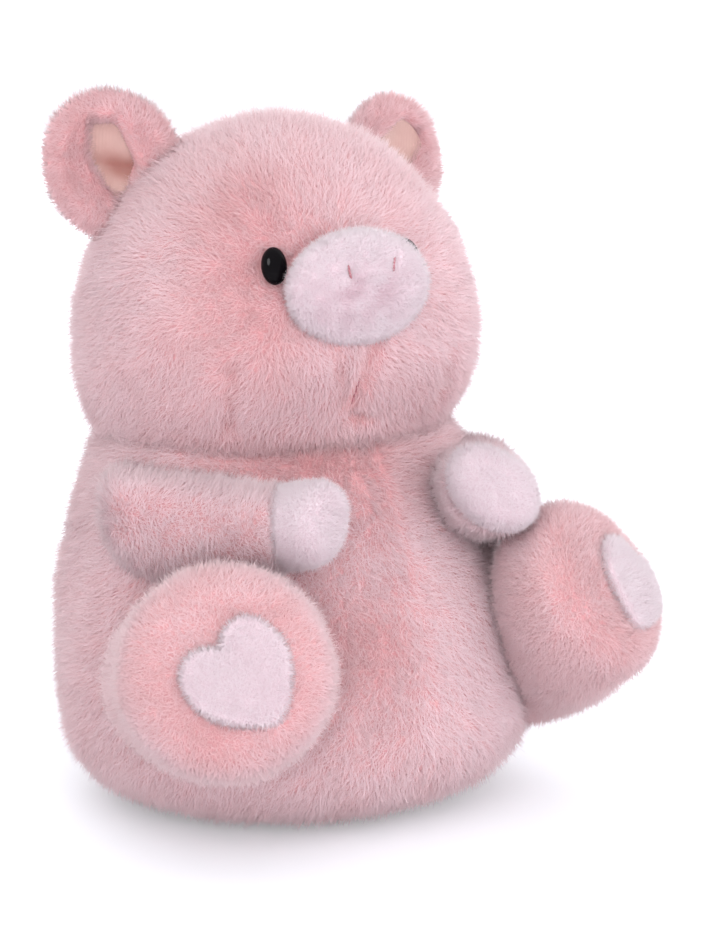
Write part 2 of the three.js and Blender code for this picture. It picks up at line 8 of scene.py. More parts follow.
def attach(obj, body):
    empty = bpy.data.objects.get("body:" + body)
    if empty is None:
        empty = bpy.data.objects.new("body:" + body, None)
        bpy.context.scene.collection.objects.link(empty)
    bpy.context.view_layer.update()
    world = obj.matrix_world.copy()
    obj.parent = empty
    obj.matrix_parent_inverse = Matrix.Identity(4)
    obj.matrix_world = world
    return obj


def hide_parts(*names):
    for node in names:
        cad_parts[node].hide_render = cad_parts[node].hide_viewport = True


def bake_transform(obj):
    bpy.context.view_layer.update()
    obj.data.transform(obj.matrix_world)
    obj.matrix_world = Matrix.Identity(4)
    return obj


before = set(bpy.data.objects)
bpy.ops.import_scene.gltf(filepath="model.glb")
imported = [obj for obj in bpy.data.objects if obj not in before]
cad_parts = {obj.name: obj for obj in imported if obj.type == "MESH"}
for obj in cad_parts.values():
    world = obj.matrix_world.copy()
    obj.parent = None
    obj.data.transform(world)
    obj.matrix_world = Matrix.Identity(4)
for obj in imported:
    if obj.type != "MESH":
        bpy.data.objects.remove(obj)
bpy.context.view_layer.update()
print("frame loaded,", len(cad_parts), "nodes")

# Lengths are in millimetres until a mesh is made. The pig faces -Y and its left is +X.
millimetre = 0.001
wholeTurn = 2 * math.pi
sides = {"left": 1, "right": -1}

# The camera looks at the target from a distance in metres
view = {
    "target": (23.6, -13.1, 139),
    "distance": 1.3,
    "bearing": -29,
    "climb": 12,
    "sensor": 24,
    "focalPixels": 3120,
    "framePixels": 928,
    "farthest": 20,
}


def linkNew(name, data):
    made = bpy.data.objects.new(name, data)
    bpy.context.scene.collection.objects.link(made)
    return made


def addCamera():
    bearing = math.radians(view["bearing"])
    climb = math.radians(view["climb"])
    level = math.cos(climb)
    back = Vector((math.sin(bearing) * level, -math.cos(bearing) * level, math.sin(climb)))
    data = bpy.data.cameras.new("camera")
    data.sensor_fit = "VERTICAL"
    data.sensor_height = view["sensor"]
    data.lens = view["sensor"] * view["focalPixels"] / view["framePixels"]
    data.clip_end = view["farthest"]
    camera = linkNew("camera", data)
    camera.location = Vector(view["target"]) * millimetre + back * view["distance"]
    camera.rotation_euler = back.to_track_quat("Z", "Y").to_euler()
    bpy.context.scene.camera = camera


addCamera()


# Numbers and forms
def signedPower(value, power):
    return np.sign(value) * np.abs(value) ** power


def smoothstep(value, low, high):
    share = np.clip((value - low) / (high - low), 0, 1)
    return share * share * (3 - 2 * share)


def swell(distance, reach):
    return np.exp(-((distance / reach) ** 2))


def mounds(x, rise, rows):
    # Each row: height, place across, place up, width and tallness of the swell
    total = 0
    for high, across, up, wide, tall in rows:
        total = total + high * swell(x - across, wide) * swell(rise - up, tall)
    return total


def unit(vectors):
    length = np.linalg.norm(vectors, axis=-1, keepdims=True)
    return vectors / np.maximum(length, 1e-9)


def flatOn(vectors, normals):
    return vectors - (vectors * normals).sum(axis=1, keepdims=True) * normals


def softNoise(points, size, seed):
    # From -1 to 1, in cells of that size
    place = points / size + 512
    cell = np.floor(place).astype(np.int64)
    part = place - cell
    part = part * part * (3 - 2 * part)
    total = np.zeros(len(points))
    for corner in range(8):
        offset = np.array([corner & 1, (corner >> 1) & 1, corner >> 2])
        spot = cell + offset
        code = spot[:, 0] * 73856093 ^ spot[:, 1] * 19349663 ^ spot[:, 2] * 83492791
        code = (code ^ (seed * 97531)) & 0xFFFFFFFF
        code = ((code ^ (code >> 13)) * 1274126177) & 0xFFFFFFFF
        level = ((code ^ (code >> 16)) & 0xFFFF) / 32767.5 - 1
        weight = np.prod(np.where(offset == 1, part, 1 - part), axis=1)
        total += weight * level
    return total


def rumpled(points, piece):
    height, size, seed = piece["rumple"]
    return height * softNoise(points, size, seed)


def ovalRing(halfWidth, halfDepth, centreY, height, squareness, around):
    angle = np.linspace(0, wholeTurn, around, endpoint=False)
    x = halfWidth * signedPower(np.cos(angle), 2 / squareness)
    y = halfDepth * signedPower(np.sin(angle), 2 / squareness)
    return np.stack([x, y + centreY, np.full(around, height)], axis=1)


def coverRing(piece, share, pull, centreY, height, scale=1):
    # One level of the torso's or the head's cover, where pull draws its rim in
    halfWidth = ((piece["halfWidth"] - piece["inset"]) * share - pull) * scale
    halfDepth = ((piece["halfDepth"] - piece["inset"]) * share - pull) * scale
    return ovalRing(halfWidth, halfDepth, centreY, height, piece["squareness"], piece["around"])


def rimPull(piece, depth):
    return piece["rimRadius"] - math.sqrt(max(piece["rimRadius"] ** 2 - max(depth, 0) ** 2, 0))


def skinOver(rings):
    # A closed form over rings that run anticlockwise about the way they climb
    rings = np.asarray(rings, float)
    count, around = rings.shape[:2]
    ends = rings[[0, -1]].mean(axis=1)
    points = np.concatenate([ends[:1], rings.reshape(-1, 3), ends[1:]])
    step = np.arange(around)
    after = (step + 1) % around
    faces = [np.stack([0 * step, 1 + after, 1 + step], axis=1)]
    for ring in range(count - 1):
        low = 1 + ring * around
        high = low + around
        faces.append(np.stack([low + step, low + after, high + after], axis=1))
        faces.append(np.stack([low + step, high + after, high + step], axis=1))
    last = 1 + (count - 1) * around
    top = 0 * step + len(points) - 1
    faces.append(np.stack([top, last + step, last + after], axis=1))
    return points, np.concatenate(faces)


def tube(path, outward, radii, around):
    # A closed form along a path, and which way its first side looks
    way = unit(np.gradient(path, axis=0))
    first = unit(flatOn(outward, way))
    second = np.cross(way, first)
    swing = np.linspace(0, wholeTurn, around, endpoint=False)[:, None]
    rings = []
    for spot, one, other, radius in zip(path, first, second, radii):
        rings.append(spot + (one * np.cos(swing) + other * np.sin(swing)) * radius)
    return skinOver(rings)


def slopesOf(points, faces):
    # Each face's normal, as long as twice its area
    corners = points[faces]
    return np.cross(corners[:, 1] - corners[:, 0], corners[:, 2] - corners[:, 0])


def normalsOf(points, faces):
    slopes = slopesOf(points, faces)
    normals = np.zeros_like(points)
    for corner in range(3):
        np.add.at(normals, faces[:, corner], slopes)
    return unit(normals)


class Form:
    # A skin's points and faces, and the normals that its pile grows along

    def __init__(self, points, faces):
        self.points = points
        self.faces = faces
        self.normals = normalsOf(points, faces)

    def push(self, amount):
        self.points = self.points + self.normals * amount[:, None]
        self.normals = normalsOf(self.points, self.faces)
        return self


def makeObject(name, points, faces, material):
    mesh = bpy.data.meshes.new(name)
    mesh.vertices.add(len(points))
    mesh.vertices.foreach_set("co", (points * millimetre).astype(np.float32).ravel())
    mesh.loops.add(faces.size)
    mesh.loops.foreach_set("vertex_index", faces.astype(np.int32).ravel())
    mesh.polygons.add(len(faces))
    mesh.polygons.foreach_set("loop_start", np.arange(0, faces.size, 3, dtype=np.int32))
    mesh.update(calc_edges=True)
    mesh.shade_smooth()
    mesh.materials.append(material)
    return linkNew(name, mesh)


def settle(piece, body, slot, *replaced):
    # body is a name to attach to, or the two bodies and the start and end of a blend, in which case the
    # piece is only fixed where it is
    if isinstance(body, str):
        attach(piece, body)
    else:
        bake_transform(piece)
    if replaced:
        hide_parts(*replaced)


# Materials
def linearColour(code):
    parts = [int(code[place:place + 2], 16) / 255 for place in (1, 3, 5)]
    return [part / 12.92 if part <= 0.04045 else ((part + 0.055) / 1.055) ** 2.4 for part in parts] + [1]


def setInputs(node, inputs):
    # Each takes a link, a value or a hex colour
    for socket, value in inputs.items():
        if isinstance(value, bpy.types.NodeSocket):
            node.id_data.links.new(value, node.inputs[socket])
        else:
            node.inputs[socket].default_value = linearColour(value) if isinstance(value, str) else value


def addNode(tree, kind, inputs, **settings):
    node = tree.nodes.new("ShaderNode" + kind)
    for key, value in settings.items():
        setattr(node, key, value)
    setInputs(node, inputs)
    return node


def newMaterial(name):
    material = bpy.data.materials.new(name)
    material.use_nodes = True
    return material, material.node_tree, material.node_tree.nodes["Principled BSDF"]


def scaleOf(size):
    # Texture scale for cells of that many millimetres. Waves repeat in about a third of it.
    return 1000 / size


def furMaterial(name, deepRoot, deepTip, paleRoot, paleTip, sheen):
    # Polyester plush, matt with a soft sheen: u carries how deep its dye looks, with painted light and
    # shade mixed in, and v runs from root to tip
    material, tree, surface = newMaterial(name)
    place = addNode(tree, "UVMap", {}, uv_map="OFBake")
    parts = addNode(tree, "SeparateXYZ", {0: place.outputs["UV"]})
    # Darker towards the root: partly the dye, partly painted shade deep in the pile
    rise = addNode(tree, "Math", {0: parts.outputs["Y"], 1: 0.75}, operation="POWER")
    pale = addNode(tree, "Mix", {0: rise.outputs[0], 6: paleRoot, 7: paleTip}, data_type="RGBA")
    deep = addNode(tree, "Mix", {0: rise.outputs[0], 6: deepRoot, 7: deepTip}, data_type="RGBA")
    dye = addNode(tree, "Mix", {0: parts.outputs["X"], 6: pale.outputs[2], 7: deep.outputs[2]},
                  data_type="RGBA")
    setInputs(surface, {"Base Color": dye.outputs[2], "Roughness": 0.62, "Specular IOR Level": 0.25,
                        "Sheen Weight": sheen, "Sheen Roughness": 0.45, "Sheen Tint": "#fff0f2"})
    return material


def clothMaterial(name, low, high, patch, roughness, bump):
    # Knitted backing cloth, as it looks between the strands, with stitches 1.1 mm apart
    material, tree, surface = newMaterial(name)
    place = addNode(tree, "TexCoord", {}).outputs["Object"]
    patches = addNode(tree, "TexNoise", {"Vector": place, "Scale": scaleOf(patch), "Detail": 3.0})
    stitches = addNode(tree, "TexVoronoi", {"Vector": place, "Scale": scaleOf(1.1)})
    tone = addNode(tree, "Mix", {0: patches.outputs[0], 6: low, 7: high}, data_type="RGBA")
    height = addNode(tree, "Bump", {"Height": stitches.outputs["Distance"], "Strength": bump,
                                    "Distance": 0.0006})
    setInputs(surface, {"Base Color": tone.outputs[2], "Normal": height.outputs[0], "Roughness": roughness,
                        "Sheen Weight": 0.3})
    return material


def satinMaterial(name):
    # Satin ear lining: close warp threads with a soft gloss, and slight ripples. The warp is drawn
    # 1.4 mm apart, much coarser than real, so that it shows.
    material, tree, surface = newMaterial(name)
    place = addNode(tree, "TexCoord", {}).outputs["Object"]
    ripples = addNode(tree, "TexNoise", {"Vector": place, "Scale": scaleOf(9), "Detail": 2.0})
    threads = addNode(tree, "TexWave", {"Vector": place, "Scale": scaleOf(4.5), "Distortion": 0.6})
    tone = addNode(tree, "Mix", {0: ripples.outputs[0], 6: "#b8918a", 7: "#c9a8a1"}, data_type="RGBA")
    # Painted shade: the fold's valley is darkened towards a deep red-brown
    foldAndPaintedShade = addNode(tree, "Attribute", {}, attribute_name="foldAndPaintedShade")
    paintedFoldShade = addNode(tree, "Mix", {0: foldAndPaintedShade.outputs["Fac"], 6: tone.outputs[2], 7: "#955a50"},
                    data_type="RGBA")
    waves = addNode(tree, "Bump", {"Height": ripples.outputs[0], "Strength": 0.35, "Distance": 0.002})
    weave = addNode(tree, "Bump", {"Height": threads.outputs["Fac"], "Strength": 0.12, "Distance": 0.0004,
                                   "Normal": waves.outputs[0]})
    setInputs(surface, {"Base Color": paintedFoldShade.outputs[2], "Normal": weave.outputs[0], "Roughness": 0.42,
                        "Sheen Weight": 0.2, "Anisotropic": 0.5})
    return material


def glossyEyeMaterial(name):
    # Moulded black plastic, polished, with the faintest swirl in its gloss
    material, tree, surface = newMaterial(name)
    place = addNode(tree, "TexCoord", {}).outputs["Object"]
    swirl = addNode(tree, "TexNoise", {"Vector": place, "Scale": scaleOf(3), "Detail": 2.0})
    gloss = addNode(tree, "MapRange", {0: swirl.outputs[0], 3: 0.05, 4: 0.1})
    tone = addNode(tree, "Mix", {0: swirl.outputs[0], 6: "#060506", 7: "#0d0a0e"}, data_type="RGBA")
    setInputs(surface, {"Base Color": tone.outputs[2], "Roughness": gloss.outputs[0],
                        "Specular IOR Level": 0.06})
    return material


def threadMaterial(name, low, high):
    # Twisted embroidery thread, matt between its plies, which repeat every 0.8 mm
    material, tree, surface = newMaterial(name)
    place = addNode(tree, "TexCoord", {}).outputs["Object"]
    twist = addNode(tree, "TexWave", {"Vector": place, "Scale": scaleOf(2.2), "Distortion": 2.0},
                    bands_direction="DIAGONAL")
    tone = addNode(tree, "Mix", {0: twist.outputs["Fac"], 6: low, 7: high}, data_type="RGBA")
    height = addNode(tree, "Bump", {"Height": twist.outputs["Fac"], "Strength": 0.5, "Distance": 0.0003})
    setInputs(surface, {"Base Color": tone.outputs[2], "Normal": height.outputs[0], "Roughness": 0.7})
    return material


# Each finish: its material and the record's slot
# The fur's root colours are darker than its tips, partly as painted shade deep in the pile
pinkPile = furMaterial("pink_plush", "#d18f92", "#e8b8ba", "#e8bdc5", "#f6e1e7", 0.4), "pink_fur"
palePile = furMaterial("pale_plush", "#dfb6c3", "#ebd0db", "#eddbe3", "#f8edf3", 0.3), "pale_fur"
pinkCover = clothMaterial("pink_backing", "#d4979b", "#e0abae", 18, 0.9, 0.5), "pink_fur"
paleCover = clothMaterial("pale_backing", "#e3cbd4", "#eddae2", 12, 0.9, 0.5), "pale_fur"
earSatin = satinMaterial("ear_satin"), "satin"
blackPlastic = glossyEyeMaterial("eye_plastic"), "black_plastic"
pinkThread = threadMaterial("pink_thread", "#a0626b", "#bf838c"), "thread"
pelletCotton = clothMaterial("pellet_bag_cotton", "#ded8cc", "#efeae0", 7, 0.95, 0.8)
clearNylon = clothMaterial("washer_nylon", "#d8d5cc", "#e6e3da", 4, 0.5, 0.1)


# Pile: straight tapered strands of three narrow faces, each drawn as thick as a few fibres so that it shows
pile = {
    "rootRadius": 0.177,
    "rootDepth": 0.6,
    "floorClearance": 0.25,
    "quickShare": 0.3,
    "partStrands": 64000,
    "swirlSize": 24,
    "tousleSize": 8,
    "leanSize": 10,
    "leanDrift": 9,
    "leanSpread": 8,
    "leanRange": (0.05, 1.35),
    "uprightLean": 0.55,
    "uprightLength": 1.12,
    "lengthSize": 13,
    "lengthDrift": 0.14,
    "lengthSpread": 0.12,
    "clumpSize": 5,
    "clumpStep": 0.8,
    "clumpTone": 0.1,
    "toneSize": 16,
    "toneDrift": 0.1,
    "toneSpread": 0.09,
    "toneRange": (0.02, 0.98),
    "toneWidth": 0.012,
    "normalShare": 0.5,
    "tipShading": (0.8, 0.2),
}


def scatterRoots(form, density, dice, hidden):
    # Evenly over the form's area, leaving out what is buried
    corners = form.points[form.faces]
    total = (np.linalg.norm(slopesOf(form.points, form.faces), axis=1) / 2).cumsum()
    count = int(total[-1] * density * (1))
    spots = (np.arange(count) + dice.random(count)) / count * total[-1]
    face = np.minimum(np.searchsorted(total, spots), len(total) - 1)
    first = np.sqrt(dice.random(count))
    second = dice.random(count)
    weights = np.stack([1 - first, first * (1 - second), first * second], axis=1)[:, :, None]
    root = (corners[face] * weights).sum(axis=1)
    normal = unit((form.normals[form.faces[face]] * weights).sum(axis=1))
    kept = ~hidden(root, normal) if hidden else slice(None)
    return root[kept], normal[kept]


def growPile(name, form, body, finish, plan, hidden=None):
    # plan: density per mm2, and length, lean, comb and tone, each a value or found from points and normals
    dice = np.random.default_rng(plan["seed"])
    root, normal = scatterRoots(form, plan["density"], dice, hidden)
    count = len(root)

    def noise(size, turn):
        return softNoise(root, size, plan["seed"] + turn)

    def planned(key):
        return plan[key](root, normal) if callable(plan[key]) else plan[key]

    combed = unit(flatOn(planned("comb"), normal))
    across = np.cross(normal, combed)
    swirl = noise(pile["swirlSize"], 1) * plan["swirl"] + noise(pile["tousleSize"], 2) * plan["tousle"]
    swirl = (swirl + dice.normal(0, plan["stray"], count))[:, None]
    combed = combed * np.cos(swirl) + across * np.sin(swirl)

    upright = dice.random(count) < plan["uprightShare"]
    lean = planned("lean") + noise(pile["leanSize"], 3) * pile["leanDrift"]
    lean = np.radians(lean + dice.normal(0, pile["leanSpread"], count))
    lean = np.clip(np.where(upright, lean * pile["uprightLean"], lean), *pile["leanRange"])[:, None]
    uneven = 1 + pile["lengthDrift"] * noise(pile["lengthSize"], 4)
    uneven = uneven + dice.normal(0, pile["lengthSpread"], count)
    length = planned("length") * uneven * np.where(upright, pile["uprightLength"], 1)
    way = normal * np.cos(lean) + combed * np.sin(lean)

    # Clumps: tips drift up the slope of a fine noise
    here = noise(pile["clumpSize"], 5)
    drift = np.zeros_like(root)
    for axis in range(3):
        step = np.zeros(3)
        step[axis] = pile["clumpStep"]
        drift[:, axis] = softNoise(root + step, pile["clumpSize"], plan["seed"] + 5) - here
    way = unit(way + flatOn(drift, normal) * plan["clump"])

    tone = planned("tone") + noise(pile["toneSize"], 6) * pile["toneDrift"] + here * pile["clumpTone"]
    tone = np.clip(tone + dice.normal(0, pile["toneSpread"], count), *pile["toneRange"])
    turn = dice.random(count) * wholeTurn
    parts = math.ceil(count / pile["partStrands"])
    for part in range(parts):
        chosen = slice(count * part // parts, count * (part + 1) // parts)
        label = name if parts == 1 else f"{name}_{part + 1}"
        strands = [values[chosen] for values in (root, normal, way, length, turn, tone)]
        settle(strandObject(label, finish[0], *strands), body, finish[1])
    print(name, count, "strands")


def strandObject(name, material, root, normal, way, length, turn, tone):
    count = len(root)
    tip = root + way * length[:, None]
    start = root - normal * pile["rootDepth"]
    for spots in (tip, start):
        spots[:, 2] = np.maximum(spots[:, 2], pile["floorClearance"])
    side = unit(np.cross(way, normal) + 1e-4)
    other = np.cross(way, side)
    points = np.empty((count, 4, 3))
    shading = np.empty((count, 4, 3))
    for corner in range(3):
        angle = (turn + corner * wholeTurn / 3)[:, None]
        outward = side * np.cos(angle) + other * np.sin(angle)
        points[:, corner] = start + outward * pile["rootRadius"]
        facing = 1 + (outward * normal).sum(axis=1, keepdims=True)
        shading[:, corner] = unit(outward + normal * facing * pile["normalShare"])
    points[:, 3] = tip
    shading[:, 3] = unit(normal * pile["tipShading"][0] + way * pile["tipShading"][1])
    base = np.arange(count)[:, None] * 4
    faces = np.concatenate([base + [corner, (corner + 1) % 3, 3] for corner in range(3)], axis=1)
    grown = makeObject(name, points.reshape(-1, 3), faces.reshape(-1, 3), material)
    places = np.zeros((count, 3, 3, 2))
    for corner, shift in enumerate((-pile["toneWidth"], pile["toneWidth"], 0)):
        places[:, :, corner, 0] = (tone + shift)[:, None]
    places[:, :, 2, 1] = 1
    layer = grown.data.uv_layers.new(name="OFBake")
    layer.uv.foreach_set("vector", places.astype(np.float32).ravel())
    grown.data.normals_split_custom_set_from_vertices(shading.reshape(-1, 3))
    return grown


# Torso: a pear that leans back, its top rounded off inside the head
torso = {
    "halfWidth": 101,
    "halfDepth": 92,
    "widest": 42,
    "rise": 158,
    "leanBack": 27,
    "neck": 152,
    "neckRim": 5,
    "seatHeight": 1.2,
    "seatSquareness": 3,
    "squareness": 2,
    "inset": 5,
    "around": 112,
    "seatRings": 18,
    "bellyRings": 44,
    "rimRadius": 12,
    # Sizes of the rings that close its top
    "closing": (0.8, 0.55, 0.3, 0.1),
    # Height, size and seed of the noise
    "rumple": (1.1, 34, 11),
    "seamDepth": 1.8,
    "seamWidth": 2.2,
    # Across, and how far it slants for each mm above that height
    "seamAcross": 18,
    "seamSlant": 0.05,
    "seamHeight": 60,
    "shoulderAngle": 62,
    "shoulderHeight": 143,
    "shoulderSwell": 9,
    "shoulderSize": 32,
    "bellyAngle": 32,
    "bellyHeight": 84,
    "bellySwell": 11,
    "bellySize": 30,
    "bellyStretch": 0.7,
    "seatSwell": 2,
    # Depths and heights that these fade in or out between
    "frontFade": (-20, 30),
    "seamFade": (12, 30),
    "rumpleFade": (6, 30),
    "seatFade": (12, 44),
    "seatEnd": (80, 110),
}


def torsoShift(height):
    return torso["leanBack"] * np.maximum(height - torso["widest"], 0) / (torso["neck"] - torso["widest"])


def torsoShare(height):
    rise = np.clip((height - torso["widest"]) / torso["rise"], -1, 1)
    return np.sqrt(1 - rise ** 2)


def torsoPoint(bearing, height, sink):
    across = math.sin(math.radians(bearing))
    ahead = -math.cos(math.radians(bearing))
    reach = torsoShare(height) / math.hypot(across / torso["halfWidth"], ahead / torso["halfDepth"]) - sink
    return np.array([across * reach, ahead * reach + torsoShift(height), height])


def insideTorso(points, depth):
    x, y, z = points.T
    share = np.maximum(torsoShare(np.maximum(z, torso["widest"])), 1e-3)
    wide = (torso["halfWidth"] - depth) * share
    deep = (torso["halfDepth"] - depth) * share
    return (np.hypot(x / wide, (y - torsoShift(z)) / deep) < 1) & (z < torso["neck"] + torso["neckRim"] + 1)


def bellySeamAt(height):
    return torso["seamAcross"] - torso["seamSlant"] * (height - torso["seamHeight"])


def torsoForm():
    rings = []
    power = 2 / torso["seatSquareness"]
    for latitude in np.radians(np.linspace(-88, 0, torso["seatRings"])):
        drop = (torso["widest"] - torso["seatHeight"]) * math.sin(-latitude) ** power
        rings.append(coverRing(torso, math.cos(latitude) ** power, 0, 0, torso["widest"] - drop))
    top = torso["neck"] + torso["neckRim"]
    for height in np.linspace(torso["widest"], top, torso["bellyRings"])[1:]:
        pull = rimPull(torso, height - (top - torso["rimRadius"]))
        rings.append(coverRing(torso, torsoShare(height), pull, torsoShift(height), height))
    for scale in torso["closing"]:
        rings.append(coverRing(torso, torsoShare(top), pull, torsoShift(top), top + 1 - scale, scale))
    form = Form(*skinOver(rings))
    x, y, z = form.points.T
    seam = -torso["seamDepth"] * swell(x - bellySeamAt(z), torso["seamWidth"])
    seam = seam * smoothstep(-y, *torso["frontFade"]) * smoothstep(z, *torso["seamFade"])
    rumple = rumpled(form.points, torso) * smoothstep(z, *torso["rumpleFade"])
    shoulders = 0
    for side in (-1, 1):
        middle = torsoPoint(side * torso["shoulderAngle"], torso["shoulderHeight"], 0)
        reach = np.linalg.norm(form.points - middle, axis=1)
        shoulders = shoulders + torso["shoulderSwell"] * swell(reach, torso["shoulderSize"])
    middle = torsoPoint(torso["bellyAngle"], torso["bellyHeight"], 0)
    reach = np.linalg.norm((form.points - middle) * [1, 1, torso["bellyStretch"]], axis=1)
    belly = torso["bellySwell"] * swell(reach, torso["bellySize"])
    seat = torso["seatSwell"] * smoothstep(z, *torso["seatFade"]) * (1 - smoothstep(z, *torso["seatEnd"]))
    return form.push(seam + rumple + shoulders + belly + seat)


# Head: wide jowls, a round crown, and a muzzle that carries the snout
head = {
    "halfWidth": 85,
    "halfDepth": 70,
    "widest": 194,
    "crown": 91,
    "jowl": 90,
    "back": 16,
    "tuck": 8,
    "neckRise": -42,
    "neckRim": 6,
    "squareness": 2.4,
    "inset": 5,
    "around": 128,
    "jowlRings": 30,
    "crownRings": 44,
    "rimRadius": 13,
    # Sizes of the rings that close it underneath
    "closing": (0.1, 0.35, 0.6, 0.8),
    "rumple": (0.9, 28, 21),
    "jowlSwell": 2,
    "crownSwell": 1.5,
    # Depths, places across and heights that these fade in between
    "faceFade": (5, 35),
    "creaseFade": (5, 25),
    "rumpleFade": (-40, -20),
    "jowlAcross": (50, 80),
    "jowlFade": (-38, -15),
    "crownFade": (50, 85),
    # Muzzle, two cheeks, two eye sockets and two brows, from the widest level
    "mounds": (
        (6, 0, 4, 34, 20),
        (3, -50, -12, 24, 22),
        (3, 50, -12, 24, 22),
        (-3.4, -33, 37, 10, 10),
        (-3.4, 33, 37, 10, 10),
        (2.2, -31, 53, 13, 13),
        (2.2, 31, 53, 13, 13),
    ),
    # Seams and tucks of the face: places across and up, depth, half width
    "creases": (
        (((-10, 4), (-5.5, -8), (1.5, -22)), 2.4, 3),
        (((8, 6), (5, -6), (4.5, -17), (4, -27)), 4.4, 2.8),
        (((3, -27.5), (8, -28.5), (13, -28)), 5.5, 2.1),
        (((-48, -3), (-46, -28)), 2.6, 2.6),
        (((48, -3), (46, -28)), 2.2, 2.6),
    ),
}


def headShift(rise):
    return head["back"] - head["tuck"] * np.minimum(rise, 0) / -head["neckRise"]


def headShare(rise):
    reach = np.where(rise > 0, head["crown"], head["jowl"])
    return np.sqrt(np.clip(1 - (rise / reach) ** 2, 0, 1))


def facePoint(across, rise):
    share = headShare(rise)
    acrossShare = abs(across) / (head["halfWidth"] * share)
    ahead = head["halfDepth"] * share * (1 - acrossShare ** head["squareness"]) ** (1 / head["squareness"])
    return np.array([across, headShift(rise) - ahead, head["widest"] + rise])


def outwardAt(surface, across, rise):
    here = surface(across, rise)
    slope = np.cross(surface(across + 0.01, rise) - here, surface(across, rise + 0.01) - here)
    return slope / np.linalg.norm(slope)


def insideHead(points, depth):
    rise = points[:, 2] - head["widest"]
    share = np.maximum(headShare(rise), 1e-3)
    wide = np.abs(points[:, 0]) / np.maximum((head["halfWidth"] - depth) * share, 1)
    deep = np.abs(points[:, 1] - headShift(rise)) / np.maximum((head["halfDepth"] - depth) * share, 1)
    reach = wide ** head["squareness"] + deep ** head["squareness"]
    return (reach < 1) & (rise > head["neckRise"] + 1 + depth / 2) & (rise < head["crown"])


def creaseAt(points):
    # Depth in mm, 0 away from the creases
    x, y, z = points.T
    rise = z - head["widest"]
    depth = np.zeros(len(points))
    for line, deep, width in head["creases"]:
        for (startX, startRise), (endX, endRise) in zip(line, line[1:]):
            runX, runRise = endX - startX, endRise - startRise
            share = ((x - startX) * runX + (rise - startRise) * runRise) / (runX ** 2 + runRise ** 2)
            share = np.clip(share, 0, 1)
            gap = np.hypot(x - startX - share * runX, rise - startRise - share * runRise)
            depth = np.maximum(depth, deep * swell(gap, width))
    return depth * smoothstep(-y, *head["creaseFade"])


def headForm():
    bottom = head["neckRise"] - head["neckRim"]
    share = float(headShare(bottom))
    rings = []
    for scale in head["closing"]:
        height = head["widest"] + bottom - 1 + scale
        rings.append(coverRing(head, share, head["rimRadius"], headShift(bottom), height, scale))
    for rise in np.linspace(bottom, 0, head["jowlRings"])[:-1]:
        pull = rimPull(head, bottom + head["rimRadius"] - rise)
        rings.append(coverRing(head, float(headShare(rise)), pull, headShift(rise), head["widest"] + rise))
    for latitude in np.radians(np.linspace(0, 88.5, head["crownRings"])):
        rise = (head["crown"] - head["inset"]) * math.sin(latitude)
        rings.append(coverRing(head, math.cos(latitude), 0, headShift(rise), head["widest"] + rise))
    form = Form(*skinOver(rings))
    x, y, z = form.points.T
    rise = z - head["widest"]
    face = smoothstep(-y, *head["faceFade"]) * mounds(x, rise, head["mounds"]) - creaseAt(form.points)
    rumple = rumpled(form.points, head) * smoothstep(rise, *head["rumpleFade"])
    jowls = head["jowlSwell"] * smoothstep(np.abs(x), *head["jowlAcross"])
    jowls = jowls * smoothstep(rise, *head["jowlFade"])
    crown = head["crownSwell"] * smoothstep(rise, *head["crownFade"])
    return form.push(face + rumple + jowls + crown)


# Limbs run along their own Z, with Y upwards
def limbFrame(origin, along):
    across = np.cross([0, 0, 1], along)
    across = across / np.linalg.norm(across)
    return {"origin": np.asarray(origin), "axes": np.stack([across, np.cross(along, across), along])}


def headingOf(side, bearing, rise):
    level = math.cos(math.radians(rise))
    across = side * math.sin(math.radians(bearing)) * level
    ahead = -math.cos(math.radians(bearing)) * level
    return np.array([across, ahead, math.sin(math.radians(rise))])


def toLimb(points, limb):
    return (points - limb["origin"]) @ limb["axes"].T


def fromLimb(points, limb):
    return points @ limb["axes"] + limb["origin"]


def limbForm(outline, around):
    return Form(*skinOver([ovalRing(radius, radius, 0, along, 2, around) for radius, along in outline]))


def arc(radius, end, count):
    latitude = np.radians(np.linspace(-88, end, count))
    return [(radius * math.cos(one), radius * math.sin(one)) for one in latitude]


arm = {
    "shoulderAngle": 61,
    "shoulderHeight": 123,
    "shoulderSink": 5,
    "shoulderRadius": 26,
    "reach": 72,
    "inward": {"left": 21, "right": 26},
    "rise": {"left": 13, "right": 10},
    "waist": 1.5,
    "inset": 4,
    "around": 64,
    "ballRings": 22,
    "sleeveRings": 16,
    "handRings": 26,
    "rumple": (0.8, 22, 31),
    "flare": {"left": 3, "right": 7},
    "rootLift": {"left": 0, "right": 5},
    "elbow": {"left": 0, "right": 0.32},
    "elbowAt": 24,
    # Places along the arm, or below it, that these fade between
    "elbowFade": (-5, 12),
    "liftFade": (-15, 45),
    "flareFade": (-8, 38),
    "bend": (-18, 14),
    "handRadius": 18.7,
    "handSquareness": 3.2,
    "handTall": {"left": 1.32, "right": 1.03},
    "handSlim": {"left": 0.93, "right": 0.98},
    "handSlant": {"left": 0, "right": 0.24},
    "handRoll": {"left": 48, "right": 0},
    "handShift": {"left": (-0.5, 1), "right": (0, -1.5)},
    "handShorten": 0.02,
    "handGrip": 25,
    "padLength": {"left": 21, "right": 33},
    "seamSlant": {"left": 0, "right": 0.6},
    "seamSlantReach": 14,
    # Closes the sleeve and the pad: share and change of the radius, and the step along
    "seamSteps": ((1, -1.2, 1.4), (1, -4, 2.4), (0.4, 0, 2.8), (0, 1, 2.9)),
    "jowlHeight": 140,
    "jowlGive": 5,
}


